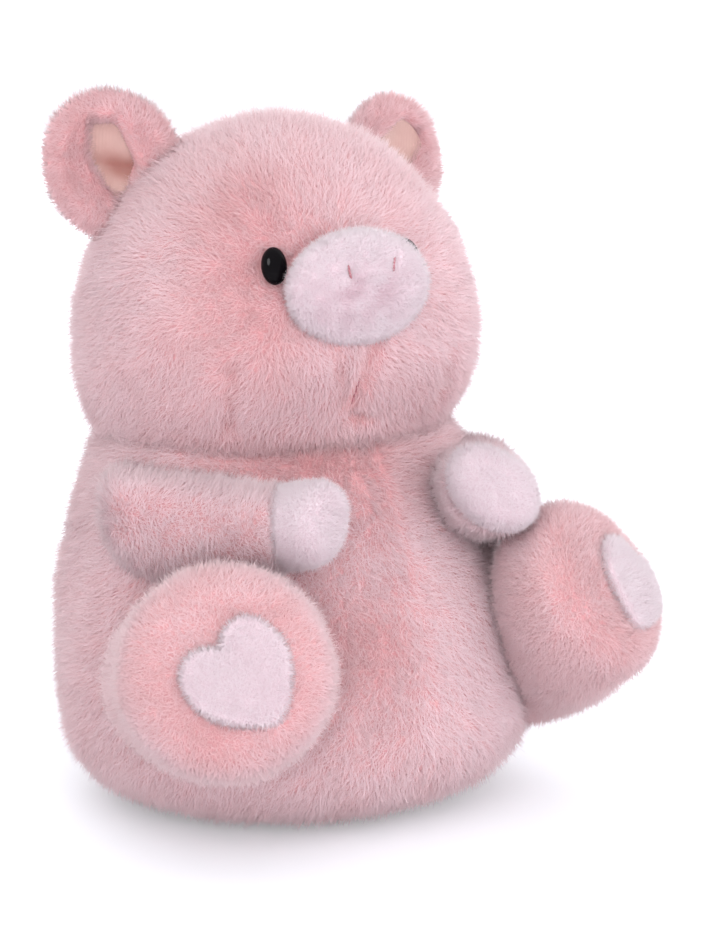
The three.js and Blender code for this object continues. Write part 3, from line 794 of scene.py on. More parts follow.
def armOutline():
    handRadius = arm["handRadius"] - arm["inset"]
    taper = math.degrees(math.asin((arm["shoulderRadius"] - arm["handRadius"]) / arm["reach"]))
    ball = arc(arm["shoulderRadius"] - arm["inset"], taper, arm["ballRings"])
    power = 2 / arm["handSquareness"]
    hand = []
    for latitude in np.radians(np.linspace(taper, 88, arm["handRings"])):
        along = arm["reach"] + handRadius * signedPower(math.sin(latitude), power)
        hand.append((handRadius * math.cos(latitude) ** power, along))
    sleeve = []
    for share in np.linspace(0, 1, arm["sleeveRings"])[1:-1]:
        radius = ball[-1][0] + (hand[0][0] - ball[-1][0]) * share - arm["waist"] * math.sin(math.pi * share)
        sleeve.append((radius, ball[-1][1] + (hand[0][1] - ball[-1][1]) * share))
    return ball + sleeve + hand


def seamEnd(radius, along, way):
    return [(radius * share + change, along + step * way) for share, change, step in arm["seamSteps"]]


def shapeArm(form, limb, name, padStart):
    across, rise, along = form.points.T
    grip = smoothstep(along, arm["reach"] - arm["handGrip"], arm["reach"])
    elbow = arm["elbow"][name] * swell(along - arm["elbowAt"], arm["elbowAt"])
    elbow = elbow * smoothstep(-rise, *arm["elbowFade"])
    rise = rise * (1 + elbow) + arm["rootLift"][name] * (1 - smoothstep(along, *arm["liftFade"]))
    along = along - arm["seamSlant"][name] * across * swell(along - padStart, arm["seamSlantReach"])
    roll = math.radians(arm["handRoll"][name])
    longer = (rise * math.cos(roll) - across * math.sin(roll)) * (1 + (arm["handTall"][name] - 1) * grip)
    shorter = (across * math.cos(roll) + rise * math.sin(roll)) * (1 + (arm["handSlim"][name] - 1) * grip)
    rise = longer * math.cos(roll) + shorter * math.sin(roll) + arm["handShift"][name][1] * grip
    across = shorter * math.cos(roll) - longer * math.sin(roll) + arm["handShift"][name][0] * grip
    along = along + (arm["handSlant"][name] * rise - arm["handShorten"] * along) * grip
    form.points = fromLimb(np.column_stack([across, rise, along]), limb)
    form.normals = normalsOf(form.points, form.faces)
    flare = arm["flare"][name] * (1 - smoothstep(along, *arm["flareFade"]))
    form.push(flare * np.clip(form.normals[:, 2], 0, 1) + rumpled(form.points, arm))
    # Pressed flat under the jowl, which sweeps over it as the neck turns
    over = np.maximum(form.points[:, 2] - arm["jowlHeight"], 0)
    pressed = arm["jowlGive"] * (1 - np.exp(-over / arm["jowlGive"])) - over
    form.points[:, 2] += pressed * (1 - grip)
    form.normals = normalsOf(form.points, form.faces)
    return form


def makeArm(name):
    side = sides[name]
    shoulder = torsoPoint(side * arm["shoulderAngle"], arm["shoulderHeight"], arm["shoulderSink"])
    limb = limbFrame(shoulder, headingOf(-side, arm["inward"][name], arm["rise"][name]))
    padStart = arm["reach"] + arm["handRadius"] - arm["padLength"][name]
    outline = armOutline()
    sleeve = [(radius, along) for radius, along in outline if along < padStart - 1]
    hand = [(radius, along) for radius, along in outline if along > padStart + 1]
    sleeve = sleeve + seamEnd(*sleeve[-1], 1)
    hand = seamEnd(*hand[0], -1)[::-1] + hand
    limb["combed"] = 1
    limb["sleeve"] = shapeArm(limbForm(sleeve, arm["around"]), limb, name, padStart)
    limb["hand"] = shapeArm(limbForm(hand, arm["around"]), limb, name, padStart)
    return limb


leg = {
    "hipAngle": 44,
    "hipHeight": 67,
    "hipSink": 9,
    "splay": {"left": 31, "right": 28},
    "rise": {"left": 31.5, "right": 20},
    "rootRadius": 29,
    # The leg grows out of the flank, behind the belly
    "rootShift": {"left": 27, "right": 18},
    "rootDrop": {"left": 9, "right": 0},
    "shiftStart": -5,
    "shiftEnd": {"left": 54, "right": 42},
    "bend": (-24, 18),
    "ballEnd": 5,
    "reach": 54,
    "footRadius": {"left": 41.5, "right": 44},
    "footRound": 21,
    "squareness": 2.5,
    # Shares of the length and of the foot's radius that the flare and the sole's dish run between
    "flareFade": (-0.25, 0.8),
    "dishFade": (0.35, 0.72),
    "dish": 2.4,
    "soleStart": 5,
    "inset": 5,
    "around": 88,
    "ballRings": 22,
    "sleeveRings": 18,
    "footRings": 30,
    "rumple": (0.9, 26, 41),
}


def legOutline(footRadius):
    footRadius = footRadius - leg["inset"]
    ball = arc(leg["rootRadius"], leg["ballEnd"], leg["ballRings"])
    sleeve = []
    for share in np.linspace(0, 1, leg["sleeveRings"])[1:-1]:
        radius = ball[-1][0] + (footRadius - ball[-1][0]) * smoothstep(share, *leg["flareFade"])
        sleeve.append((radius, ball[-1][1] + (leg["reach"] - ball[-1][1]) * share))
    power = 2 / leg["squareness"]
    foot = []
    for latitude in np.radians(np.linspace(0, 88, leg["footRings"])):
        along = leg["reach"] + (leg["footRound"] - leg["inset"]) * math.sin(latitude) ** power
        foot.append((footRadius * math.cos(latitude) ** power, along))
    return ball + sleeve + foot


def rootShift(along, name):
    # Across and up
    share = 1 - smoothstep(along, leg["shiftStart"], leg["shiftEnd"][name])
    return np.column_stack([sides[name] * leg["rootShift"][name] * share, -leg["rootDrop"][name] * share])


def makeLeg(name):
    side = sides[name]
    footRadius = leg["footRadius"][name]
    hip = torsoPoint(side * leg["hipAngle"], leg["hipHeight"], leg["hipSink"])
    limb = limbFrame(hip, headingOf(side, leg["splay"][name], leg["rise"][name]))
    form = limbForm(legOutline(footRadius), leg["around"])
    reach = np.hypot(form.points[:, 0], form.points[:, 1]) / footRadius
    onSole = form.points[:, 2] > leg["reach"] + leg["soleStart"]
    form.points[:, 2] -= leg["dish"] * (1 - smoothstep(reach, *leg["dishFade"])) * onSole
    form.points[:, :2] += rootShift(form.points[:, 2], name)
    form.points = fromLimb(form.points, limb)
    limb["combed"] = -1
    limb["skin"] = form.push(rumpled(form.points, leg))
    limb["heart"] = heartForm(limb, name)
    return limb


# Sewn-on heart of each sole
heart = {
    "halfWidth": 0.52,
    "height": 0.96,
    "inward": {"left": -0.2, "right": 0.2},
    "drop": {"left": 0.2, "right": 0.12},
    "turn": 40,
    "inset": 3,
    "puff": 3.2,
    "softening": 9,
    "points": {
        "tip": (0, -0.52),
        "flank": (0.5, -0.4),
        "waist": (1, -0.1),
        "lobe": (1, 0.14),
        "crown": (1, 0.66),
        "dip": (0.26, 0.62),
        "notch": (0, 0.4),
    },
    "steps": 22,
    "rings": 14,
    "buried": 5,
    # Sizes of the rings that close it underneath
    "closing": (0.15, 0.5, 0.85),
    "edgeEnd": 40,
    "edgeDraw": 0.16,
    "edgeLift": 0.1,
    "runIn": 49,
    "rumple": (0.3, 9, 51),
}


def bezier(start, first, second, end, share):
    rest = 1 - share
    bend = 3 * rest ** 2 * share * first + 3 * rest * share ** 2 * second
    return rest ** 3 * start + bend + share ** 3 * end


def heartEdge(name):
    footRadius = leg["footRadius"][name]
    spots = {key: np.array(value) for key, value in heart["points"].items()}
    share = np.linspace(0, 1, heart["steps"], endpoint=False)[:, None]
    lower = bezier(spots["tip"], spots["flank"], spots["waist"], spots["lobe"], share)
    upper = bezier(spots["lobe"], spots["crown"], spots["dip"], spots["notch"], share)
    half = np.concatenate([lower, upper])
    other = np.concatenate([spots["notch"][None], half[:0:-1]]) * [-1, 1]
    edge = np.concatenate([half, other]) * [footRadius * heart["halfWidth"], footRadius * heart["height"]]
    kernel = np.hanning(heart["softening"] + 2)[1:-1]
    kernel = kernel / kernel.sum()
    reach = len(kernel) // 2
    wrapped = np.concatenate([edge[-reach:], edge, edge[:reach]])
    edge = np.column_stack([np.convolve(wrapped[:, axis], kernel, "valid") for axis in (0, 1)])
    edge = edge + unit(edge.mean(axis=0) - edge) * heart["inset"]
    turn = math.radians(-sides[name] * heart["turn"])
    turned = edge @ np.array([[math.cos(turn), math.sin(turn)], [-math.sin(turn), math.cos(turn)]])
    return turned - [sides[name] * footRadius * heart["inward"][name], footRadius * heart["drop"][name]]


def heartForm(limb, name):
    edge = heartEdge(name)
    middle = edge.mean(axis=0)
    rings = []

    def addRing(share, lift):
        spots = middle + (edge - middle) * share
        reach = np.hypot(spots[:, 0], spots[:, 1]) / (leg["footRadius"][name] - leg["inset"])
        latitude = np.arccos(np.clip(reach, 0, 0.999) ** (leg["squareness"] / 2))
        sole = (leg["footRound"] - leg["inset"]) * np.sin(latitude) ** (2 / leg["squareness"])
        rings.append(np.column_stack([spots, leg["reach"] + sole + lift]))

    for share in heart["closing"]:
        addRing(share, -heart["buried"])
    # The edge rounds over up to edgeEnd, then the top runs in to the middle over runIn, in degrees
    for angle in np.linspace(-heart["edgeEnd"], 88, heart["rings"]):
        edgeAngle = math.radians(min(angle, heart["edgeEnd"]))
        share = 1 - heart["edgeDraw"] * (1 - math.cos(edgeAngle))
        share = share * (1 - max(angle - heart["edgeEnd"], 0) / heart["runIn"])
        lift = heart["edgeLift"] + math.sin(math.radians(angle)) * (1 - heart["edgeLift"])
        addRing(share, heart["puff"] * lift)
    form = Form(*skinOver(rings))
    form.points = fromLimb(form.points, limb)
    return form.push(rumpled(form.points, heart))


arms = {name: makeArm(name) for name in sides}
legs = {name: makeLeg(name) for name in sides}
torsoSkin = torsoForm()
headSkin = headForm()
print("forms made")

eyes = {
    "spread": {"left": 30.2, "right": 32.3},
    "rise": 36.5,
    "sink": {"left": 3.6, "right": 1.3},
    "size": (5.2, 7.6, 4.6),
    "clear": (5, 7.4, 14),
}


def eyeFrame(name):
    across = sides[name] * eyes["spread"][name]
    ahead = outwardAt(facePoint, across, eyes["rise"])
    return limbFrame(facePoint(across, eyes["rise"]) - ahead * eyes["sink"][name], ahead)


# Snout: an oval dome of short velvety pile
snout = {
    "halfWidth": 32,
    "halfHeight": 23.5,
    "rise": 27,
    "stand": 3,
    "depth": 11,
    "squareness": 2.3,
    "inset": 2.2,
    "around": 96,
    "rings": 48,
    "rumple": (0.7, 9, 61),
    "bridge": ((0.9, 0, 5, 5, 7),),
    "frontFade": (2, 6),
    "nostrilAcross": {1: 12.2, -1: -8.2},
    "nostrilRise": {1: 9, -1: 7.5},
    "nostrilLean": 12,
    "nostrilLength": 5.6,
    "nostrilDent": 0.5,
    "nostrilWidth": 2.6,
}
snoutMiddle = facePoint(0, snout["rise"]) - np.array([0, snout["stand"], 0])


def nostrilLine(side, share):
    lean = math.radians(side * snout["nostrilLean"])
    place = (share - 0.5) * snout["nostrilLength"]
    across = snout["nostrilAcross"][side] + place * math.sin(lean)
    return across, snout["nostrilRise"][side] + place * math.cos(lean)


def nostrilSwells(points, width, count):
    x = points[:, 0]
    rise = points[:, 2] - snoutMiddle[2]
    lines = [nostrilLine(side, share) for side in (-1, 1) for share in np.linspace(0, 1, count)]
    return [swell(np.hypot(x - across, rise - up), width) for across, up in lines]


def snoutForm():
    wide = snout["halfWidth"] - snout["inset"]
    tall = snout["halfHeight"] - snout["inset"]
    deep = snout["depth"] - snout["inset"]
    power = 2 / snout["squareness"]
    rings = []
    for latitude in np.radians(np.linspace(-88, 88, snout["rings"])):
        share = math.cos(latitude) ** power
        height = deep * signedPower(math.sin(latitude), power)
        rings.append(ovalRing(wide * share, tall * share, 0, height, 2, snout["around"]))
    points, faces = skinOver(rings)
    form = Form(np.column_stack([points[:, 0], -points[:, 2], points[:, 1]]) + snoutMiddle, faces)
    x, y, z = (form.points - snoutMiddle).T
    dents = -snout["nostrilDent"] * sum(nostrilSwells(form.points, snout["nostrilWidth"], 5))
    bumps = mounds(x, z, snout["bridge"]) + rumpled(form.points, snout)
    return form.push(smoothstep(-y, *snout["frontFade"]) * (dents + bumps))


snoutSkin = snoutForm()


# Ears: a cupped, thickly edged fur shell with a satin lining deep in the cup
ear = {
    "radius": 30,
    "wall": 3,
    "around": 96,
    "rings": 48,
    "reach": 10,
    "span": 34,
    "bowl": 12,
    "curl": 4,
    "slim": 0.88,
    "rimSquareness": 4,
    "rootRise": 61,
    "rootBack": 12,
    "sweep": 20,
    "facing": {"left": 5, "right": 15},
    "tilt": {"left": 35, "right": 64},
    "shift": {"left": (-1.5, 3, -2), "right": (0, 0, 0)},
    "shorten": {"left": 0.9, "right": 1},
    "hole": (1.3, 14.8),
    "holeSize": {"left": 1.18, "right": 1},
    "holeCorners": ((12, 26), (12, 2), (-5, -3), (-8, 17), (-1, 30)),
    "holeSharpness": 7,
    # Fades run over shares of the way to the opening's edge or to the rim, and overhangFade over mm
    "puff": 6.5,
    "puffFade": (0.8, 1.25),
    "rimThin": 0.75,
    "rimFade": (0.75, 1),
    "overhang": 3,
    "overhangAt": 1.1,
    "overhangWidth": 0.3,
    "overhangFade": (0, 6),
    "overhangForward": 0.4,
    "bend": (-8, 8),
}
lining = {
    "radius": 21,
    "wall": 1,
    "around": 72,
    "rings": 36,
    "depth": 2.2,
    "lift": {"left": 2.4, "right": 0},
    "rumple": (0.7, 9, 71),
    # A soft fold runs across it through this place, square to this way
    "foldAt": (5, 12),
    "foldWay": (0.555, 0.832),
    "foldWidth": 4.5,
    "foldDepth": 2.6,
    # How dark the painted shade in the fold is on each ear
    "foldPaintedShade": {"left": 0.15, "right": 0.9},
    "foldFade": (-8, 2),
}


def earFrame(name):
    side = sides[name]
    rootRing = float(headShare(ear["rootRise"]))
    behind = math.radians(ear["rootBack"])
    power = 2 / head["squareness"]
    across = head["halfWidth"] * rootRing * math.cos(behind) ** power
    deep = head["halfDepth"] * rootRing * math.sin(behind) ** power
    root = np.array([side * across, head["back"] + deep, head["widest"] + ear["rootRise"]])
    tilt = math.radians(ear["tilt"][name])
    sweep = math.radians(ear["sweep"])
    facing = math.radians(ear["facing"][name])
    level = math.cos(tilt)
    out = np.array([side * math.cos(sweep) * level, math.sin(sweep) * level, math.sin(tilt)])
    away = np.array([-side * math.sin(facing), math.cos(facing), 0])
    away = away - away.dot(out) * out
    away = away / np.linalg.norm(away)
    return {"origin": root + ear["shift"][name], "axes": np.stack([np.cross(away, out), away, out])}


def earDish(across, reach):
    acrossShare = across / ear["span"]
    reachShare = (reach - ear["reach"]) / ear["span"]
    return ear["bowl"] * (1 - acrossShare ** 2 - reachShare ** 2) - ear["curl"] * acrossShare ** 2


def earSheet(sheet):
    rings = []
    angle = np.linspace(0, wholeTurn, sheet["around"], endpoint=False)
    for latitude in np.radians(np.linspace(1.5, 178.5, sheet["rings"])):
        reachOut = sheet["radius"] * math.sin(latitude)
        offset = -sheet["wall"] / 2 * signedPower(math.cos(latitude), 2 / ear["rimSquareness"])
        across = reachOut * np.sin(angle) * ear["slim"]
        reach = ear["reach"] + reachOut * np.cos(angle)
        rings.append(np.stack([across, earDish(across, reach) + offset, reach], axis=1))
    return skinOver(rings)


def holeReach(across, reach, name):
    # How far a place is from the middle of the five-cornered opening, where 1 is its edge
    spots = (np.column_stack([-sides[name] * across, reach]) - ear["hole"]) / ear["holeSize"][name]
    corners = np.array(ear["holeCorners"]) - ear["hole"]
    total = np.zeros(len(spots))
    for start, end in zip(corners, np.roll(corners, -1, axis=0)):
        outward = np.array([end[1] - start[1], start[0] - end[0]])
        outward = outward * np.sign(outward @ start)
        total += np.maximum(spots @ outward / (outward @ start), 0) ** ear["holeSharpness"]
    return total ** (1 / ear["holeSharpness"])


def makeEar(name):
    flap = earFrame(name)
    side = sides[name]
    points, faces = earSheet(ear)
    across, depth, reach = points.T
    rim = np.hypot(across / ear["slim"], reach - ear["reach"]) / ear["radius"]
    front = depth < earDish(across, reach)
    hole = holeReach(across, reach, name)
    puff = ear["puff"] * smoothstep(hole, *ear["puffFade"])
    puff = puff * (1 - ear["rimThin"] * smoothstep(rim, *ear["rimFade"]))
    overhang = ear["overhang"] * swell(hole - ear["overhangAt"], ear["overhangWidth"])
    overhang = overhang * smoothstep(-side * across - ear["hole"][0], *ear["overhangFade"])
    points[:, 1] -= np.where(front, puff + overhang * ear["overhangForward"], 0)
    points[:, 0] += np.where(front, side * overhang, 0)
    points[:, 2] *= ear["shorten"][name]
    flap["skin"] = Form(fromLimb(points, flap), faces)

    points, faces = earSheet(lining)
    across, depth, reach = points.T
    beside = lining["foldAt"][0] - side * across
    beyond = reach - lining["foldAt"][1]
    foldAndPaintedShade = beside * lining["foldWay"][0] + beyond * lining["foldWay"][1]
    foldAndPaintedShade = swell(foldAndPaintedShade, lining["foldWidth"])
    # Painted shade along the fold, which darkens the satin's colour
    flap["foldAndPaintedShade"] = lining["foldPaintedShade"][name] * foldAndPaintedShade * smoothstep(-side * across, *lining["foldFade"])
    sunk = lining["depth"] + lining["lift"][name] + lining["foldDepth"] * (1 - foldAndPaintedShade)
    points[:, 1] -= sunk + rumpled(points, lining)
    points[:, 2] *= ear["shorten"][name]
    flap["lining"] = Form(fromLimb(points, flap), faces)
    return flap


ears = {name: makeEar(name) for name in sides}

# Tail: one tapered curl out of the back
tail = {
    "height": 62,
    "radius": 4.2,
    "tipRadius": 2.4,
    "curl": 9,
    "length": 24,
    "turns": 1.2,
    "around": 24,
    "steps": 60,
    "buried": 2,
    "tipRound": 12,
    "tipLeast": 0.02,
}


def tailForm():
    root = torsoPoint(180, tail["height"], 0)
    share = np.linspace(0, 1, tail["steps"])
    angle = wholeTurn * tail["turns"] * share
    outward = np.stack([np.sin(angle), 0 * angle, -np.cos(angle)], axis=1)
    back = tail["length"] * share - tail["buried"] * (share == 0)
    path = root + np.stack([0 * share, back, tail["curl"] + 0 * share], axis=1) + outward * tail["curl"]
    radius = tail["radius"] + (tail["tipRadius"] - tail["radius"]) * share
    radius = radius * np.sqrt(np.clip((1 - share) * tail["tipRound"], tail["tipLeast"], 1))
    return Form(*tube(path, outward, radius, tail["around"]))


tailSkin = tailForm()


# Skins as objects
def addSkin(name, form, finish, body, fill, *replaced):
    skin = makeObject(name, form.points, form.faces, finish[0])
    settle(skin, body, finish[1], *replaced)
    return skin


def bendOf(limb, first, second, start, end):
    # The two bodies, and the places in metres along the limb that the bend runs between
    places = [limb["origin"] + limb["axes"][2] * place for place in (start, end)]
    return first, second, *(tuple(float(part) for part in place * millimetre) for place in places)


neckTurn = ("torso", "head", (0, 0.024, 0.134), (0, 0.024, 0.157))
addSkin("torso_cover", torsoSkin, pinkCover, neckTurn, 0.8, "torso_skin", "torso_stuffing")
addSkin("head_cover", headSkin, pinkCover, "head", 0.85, "head_skin", "head_stuffing")
addSkin("snout_cover", snoutSkin, paleCover, "head", 0.85, "snout_pad", "snout_filling")
addSkin("tail_cover", tailSkin, pinkCover, "torso", 0.9, "tail")
for name in sides:
    limb = arms[name]
    body = f"arm_{name}"
    bend = limb["bend"] = bendOf(limb, "torso", body, *arm["bend"])
    addSkin(f"{body}_cover", limb["sleeve"], pinkCover, bend, 0.8, f"{body}_skin", f"{body}_stuffing")
    addSkin(f"hand_{name}_pad", limb["hand"], paleCover, body, 0.8, f"{body}_pad")
    limb = legs[name]
    body = f"leg_{name}"
    bend = limb["bend"] = bendOf(limb, "torso", body, *leg["bend"])
    addSkin(f"{body}_cover", limb["skin"], pinkCover, bend, 0.8, f"{body}_skin", f"{body}_stuffing")
    addSkin(f"heart_{name}_pad", limb["heart"], paleCover, body, 0.7, f"{body}_heart")
    flap = ears[name]
    body = f"ear_{name}"
    bend = flap["bend"] = bendOf(flap, "head", body, *ear["bend"])
    addSkin(f"{body}_cover", flap["skin"], pinkCover, bend, 0.7, f"{body}_skin")
    satinSkin = addSkin(f"{body}_satin", flap["lining"], earSatin, bend, 0.5, f"{body}_lining")
    # Carries the fold's painted shade to the satin material
    foldAndPaintedShade = satinSkin.data.attributes.new("foldAndPaintedShade", "FLOAT", "POINT")
    foldAndPaintedShade.data.foreach_set("value", flap["foldAndPaintedShade"].astype(np.float32))
print("skins added")


# Where pile would only be buried, judged a little out from its root
buried = {
    "reach": 3,
    "inTorso": 9,
    "inHead": 8,
    "seat": 2.2,
    "floor": 0.5,
    "inArm": arm["shoulderRadius"] - 9,
    "inLeg": leg["rootRadius"] - 5,
    "underSnout": 4,
}


def hiddenOnTorso(points, normals):
    tips = points + normals * buried["reach"]
    hidden = insideHead(tips, buried["inHead"]) | (points[:, 2] < buried["seat"])
    for name in sides:
        hidden |= np.linalg.norm(tips - arms[name]["origin"], axis=1) < buried["inArm"]
        local = toLimb(tips, legs[name])
        local[:, :2] -= rootShift(local[:, 2], name)
        hidden |= np.linalg.norm(local, axis=1) < buried["inLeg"]
    return hidden


def hiddenOnHead(points, normals):
    tips = points + normals * buried["reach"]
    x, y, z = (tips - snoutMiddle).T
    wide = x / (snout["halfWidth"] - buried["underSnout"])
    tall = z / (snout["halfHeight"] - buried["underSnout"])
    hidden = insideTorso(tips, buried["inTorso"]) | ((np.hypot(wide, tall) < 1) & (tips[:, 1] < 0))
    for name in sides:
        x, y, z = np.abs(toLimb(points, eyeFrame(name)) / eyes["clear"]).T
        hidden |= (np.hypot(x, y) < 1) & (z < 1)
    return hidden


def hiddenOnLimb(points, normals):
    tips = points + normals * buried["reach"]
    inBody = insideTorso(tips, buried["inTorso"]) | insideHead(tips, buried["inTorso"])
    return inBody | (tips[:, 2] < buried["floor"])


# Which way the pile is combed: shares beside a main way of 1, then places and steps in mm
combing = {
    "fromSeam": 0.35,
    "headDown": 0.35,
    "creaseAcross": 0.6,
    "creaseDown": 0.3,
    "down": (0.25, -0.3, -1.0),
    "creaseStep": 0.7,
    "behindSnout": 20,
    "earMiddle": 2,
}


def combTorso(points, normals):
    # Down, and away from the belly's seam
    way = np.zeros_like(points)
    way[:, 2] = -1
    beside = np.sign(points[:, 0] - torso["seamAcross"])
    way[:, 0] = combing["fromSeam"] * beside * smoothstep(-points[:, 1], 0, 40)
    return way


def combHead(points, normals):
    # Out from the snout, a little down, and into the creases
    way = unit(points - (snoutMiddle + [0, combing["behindSnout"], 0]))
    way[:, 2] -= combing["headDown"]
    here = creaseAt(points)
    way[:, 0] -= combing["creaseAcross"] * (creaseAt(points + [combing["creaseStep"], 0, 0]) - here)
    way[:, 2] -= combing["creaseDown"] * (creaseAt(points + [0, 0, combing["creaseStep"]]) - here)
    return way


def combDown(points, normals):
    return np.tile(combing["down"], (len(points), 1))


def combLimb(limb):
    # Along the limb, and outwards over its flat end
    def comb(points, normals):
        local = toLimb(points, limb)
        flat = np.clip((normals @ limb["axes"][2])[:, None], 0, 1)
        outward = unit(np.column_stack([local[:, :2], 0 * local[:, 0]])) @ limb["axes"]
        return limb["axes"][2] * limb["combed"] * (1 - flat) + outward * flat
    return comb


def combEar(flap):
    # Out from near the flap's root
    def comb(points, normals):
        local = toLimb(points, flap)
        local[:, 1] = 0
        local[:, 2] -= combing["earMiddle"]
        return unit(local) @ flap["axes"]
    return comb


# How long it is in mm, and what share or length is trimmed off
lengths = {
    "body": 6.4,
    "creaseTrim": 0.09,
    "snout": 3.6,
    "nostrilTrim": 0.7,
    "nostrilWidth": 2.2,
    "leg": 6,
    "soleTrim": 1.7,
    "soleFade": (-4, 10),
    "ear": 5,
    "earHole": 1,
    "holeFade": (0.8, 1.15),
}


def headLength(points, normals):
    return lengths["body"] * (1 - lengths["creaseTrim"] * creaseAt(points))


def snoutLength(points, normals):
    # Parted at the nostrils
    parted = np.maximum.reduce(nostrilSwells(points, lengths["nostrilWidth"], 7))
    return lengths["snout"] * (1 - lengths["nostrilTrim"] * parted)


def soleLength(limb):
    def length(points, normals):
        onSole = smoothstep(toLimb(points, limb)[:, 2] - leg["reach"], *lengths["soleFade"])
        return lengths["leg"] - lengths["soleTrim"] * onSole
    return length


def earLength(flap, name):
    # Trimmed short inside the opening, where the satin is
    def length(points, normals):
        local = toLimb(points, flap)
        hole = holeReach(local[:, 0], local[:, 2] / ear["shorten"][name], name)
        front = normals @ flap["axes"][1] < 0.2
        untrimmed = lengths["ear"] - lengths["earHole"]
        rim = lengths["earHole"] + untrimmed * smoothstep(hole, *lengths["holeFade"])
        return np.where(front, rim, lengths["ear"])
    return length


# Where it stands up, from 0 to 1: by the foot and under the chin, on the forehead and by the eye, and on
# the snout, which is rubbed into tufts about its middle. Deeper roots show on the forehead; the deeper tone
# by the foot, under the chin and between the tufts is painted shade. Rows are as in mounds.
stands = {
    "torso": ((0.65, -8, 80, 23.1, 21),),
    "torsoFront": (0, 40),
    "underChin": (118, 152),
    "underChinAt": 5,
    "underChinWidth": 62,
    "head": ((1, -36, 57, 25, 25), (0.5, -42, 18, 22, 22)),
    "headFront": (-5, 25),
    "chin": 0.35,
    "chinFade": (26, 42),
    "snout": ((1, -2, -3, 19.5, 13),),
    "sole": 0.7,
    "soleFade": (4, 12),
    # Degrees that it rises, and how much its tone deepens, partly dye and partly painted shade
    "lift": 28,
    "tone": 0.42,
    "torsoToneWithPaintedLightAndShade": 0.46,
    "snoutToneWithPaintedShade": 0.75,
}
# How deep its dye looks, from 0 to 1, with painted light beside the far leg and painted shade on the near
# cheek, in the creases and on the far leg
dyesWithPaintedLightAndShade = {
    "torso": 0.24,
    "paintedLightBesideLeg": 0.2,
    "besideLegAt": 38,
    "besideLegWidth": 30,
    "besideLegFade": (10, 50),
    "head": 0.26,
    "nearCheekPaintedShade": ((0.18, -50, 4, 24, 24),),
    "cheekFade": (-20, 15),
    "paintedCreaseShade": 0.08,
    "snout": 0.12,
    "tail": 0.35,
    "arm": 0.05,
    "hand": 0.22,
    # Deeper on the legs, most on the far one: partly painted shade
    "leg": {"left": 0.42, "right": 0.36},
    "heart": {"left": 0.1, "right": 0.3},
    "ear": 0.6,
}


def torsoStand(points):
    x, y, z = points.T
    # The tone drawn from here, under the chin and by the foot, is painted shade
    underChin = smoothstep(z, *stands["underChin"])
    underChin = underChin * swell(x - stands["underChinAt"], stands["underChinWidth"])
    front = smoothstep(-y, *stands["torsoFront"])
    return np.clip(front * (underChin + mounds(x, z, stands["torso"])), 0, 1)


def headStand(points):
    x, y, z = points.T
    rise = z - head["widest"]
    # Stands towards the chin's underside, where its deeper tone is painted shade
    chin = stands["chin"] * smoothstep(-rise, *stands["chinFade"])
    front = smoothstep(-y, *stands["headFront"])
    return np.clip(front * (mounds(x, rise, stands["head"]) + chin), 0, 1)


def snoutStand(points):
    # Tufts about the middle, whose deeper tone is partly roots showing and partly painted shade in the
    # hollows between them
    x, y, z = (points - snoutMiddle).T
    return mounds(x, z, stands["snout"]) * np.clip(0.55 + 0.7 * softNoise(points, 5, 62), 0, 1)


def soleStand(limb):
    def stand(points):
        onSole = smoothstep(toLimb(points, limb)[:, 2] - leg["reach"], *stands["soleFade"])
        return stands["sole"] * onSole * (0.5 + 0.5 * softNoise(points, 20, 81))
    return stand


def leanFrom(stand, flat):
    return lambda points, normals: flat - stands["lift"] * stand(points)


def toneFrom(stand, low, deepening):
    return lambda points, normals: low + deepening * stand(points)


def torsoToneWithPaintedLightAndShade(points, normals):
    # Palest where the belly swells beside the far leg: painted light where the hands, feet and head shade
    # it. Deeper where it stands: painted shade under the chin and by the foot
    x, y, z = points.T
    pale = smoothstep(-y, *stands["torsoFront"]) * swell(x - dyesWithPaintedLightAndShade["besideLegAt"], dyesWithPaintedLightAndShade["besideLegWidth"])
    pale = pale * smoothstep(z, *dyesWithPaintedLightAndShade["besideLegFade"])
    return dyesWithPaintedLightAndShade["torso"] - dyesWithPaintedLightAndShade["paintedLightBesideLeg"] * pale + stands["torsoToneWithPaintedLightAndShade"] * torsoStand(points)


def headToneWithPaintedShade(points, normals):
    # Darker on the near cheek, in the creases and under the chin: painted shade
    x, y, z = points.T
    paintedCheekShade = smoothstep(-y, *dyesWithPaintedLightAndShade["cheekFade"]) * mounds(x, z - head["widest"], dyesWithPaintedLightAndShade["nearCheekPaintedShade"])
    return dyesWithPaintedLightAndShade["head"] + stands["tone"] * headStand(points) + paintedCheekShade + dyesWithPaintedLightAndShade["paintedCreaseShade"] * creaseAt(points)


bodyPlan = {
    "density": 2.08,
    "length": lengths["body"],
    "swirl": 0.9,
    "tousle": 0.8,
    "stray": 0.6,
    "uprightShare": 0.16,
    "clump": 0.7,
}
padPlan = dict(bodyPlan, stray=3, comb=combDown)
torsoPlan = dict(bodyPlan, seed=101, lean=leanFrom(torsoStand, 60), comb=combTorso, tone=torsoToneWithPaintedLightAndShade)
headPlan = dict(bodyPlan, seed=201, lean=leanFrom(headStand, 60), comb=combHead, tone=headToneWithPaintedShade,
                length=headLength)
snoutPlan = dict(padPlan, seed=301, density=6.5, length=snoutLength, lean=leanFrom(snoutStand, 50),
                 tone=toneFrom(snoutStand, dyesWithPaintedLightAndShade["snout"], stands["snoutToneWithPaintedShade"]), clump=1.8)
tailPlan = dict(bodyPlan, seed=351, density=4, length=3.5, lean=45, comb=combTorso, tone=dyesWithPaintedLightAndShade["tail"])
growPile("torso_pile", torsoSkin, neckTurn, pinkPile, torsoPlan, hiddenOnTorso)
growPile("head_pile", headSkin, "head", pinkPile, headPlan, hiddenOnHead)
growPile("snout_pile", snoutSkin, "head", palePile, snoutPlan)
growPile("tail_pile", tailSkin, "torso", pinkPile, tailPlan)
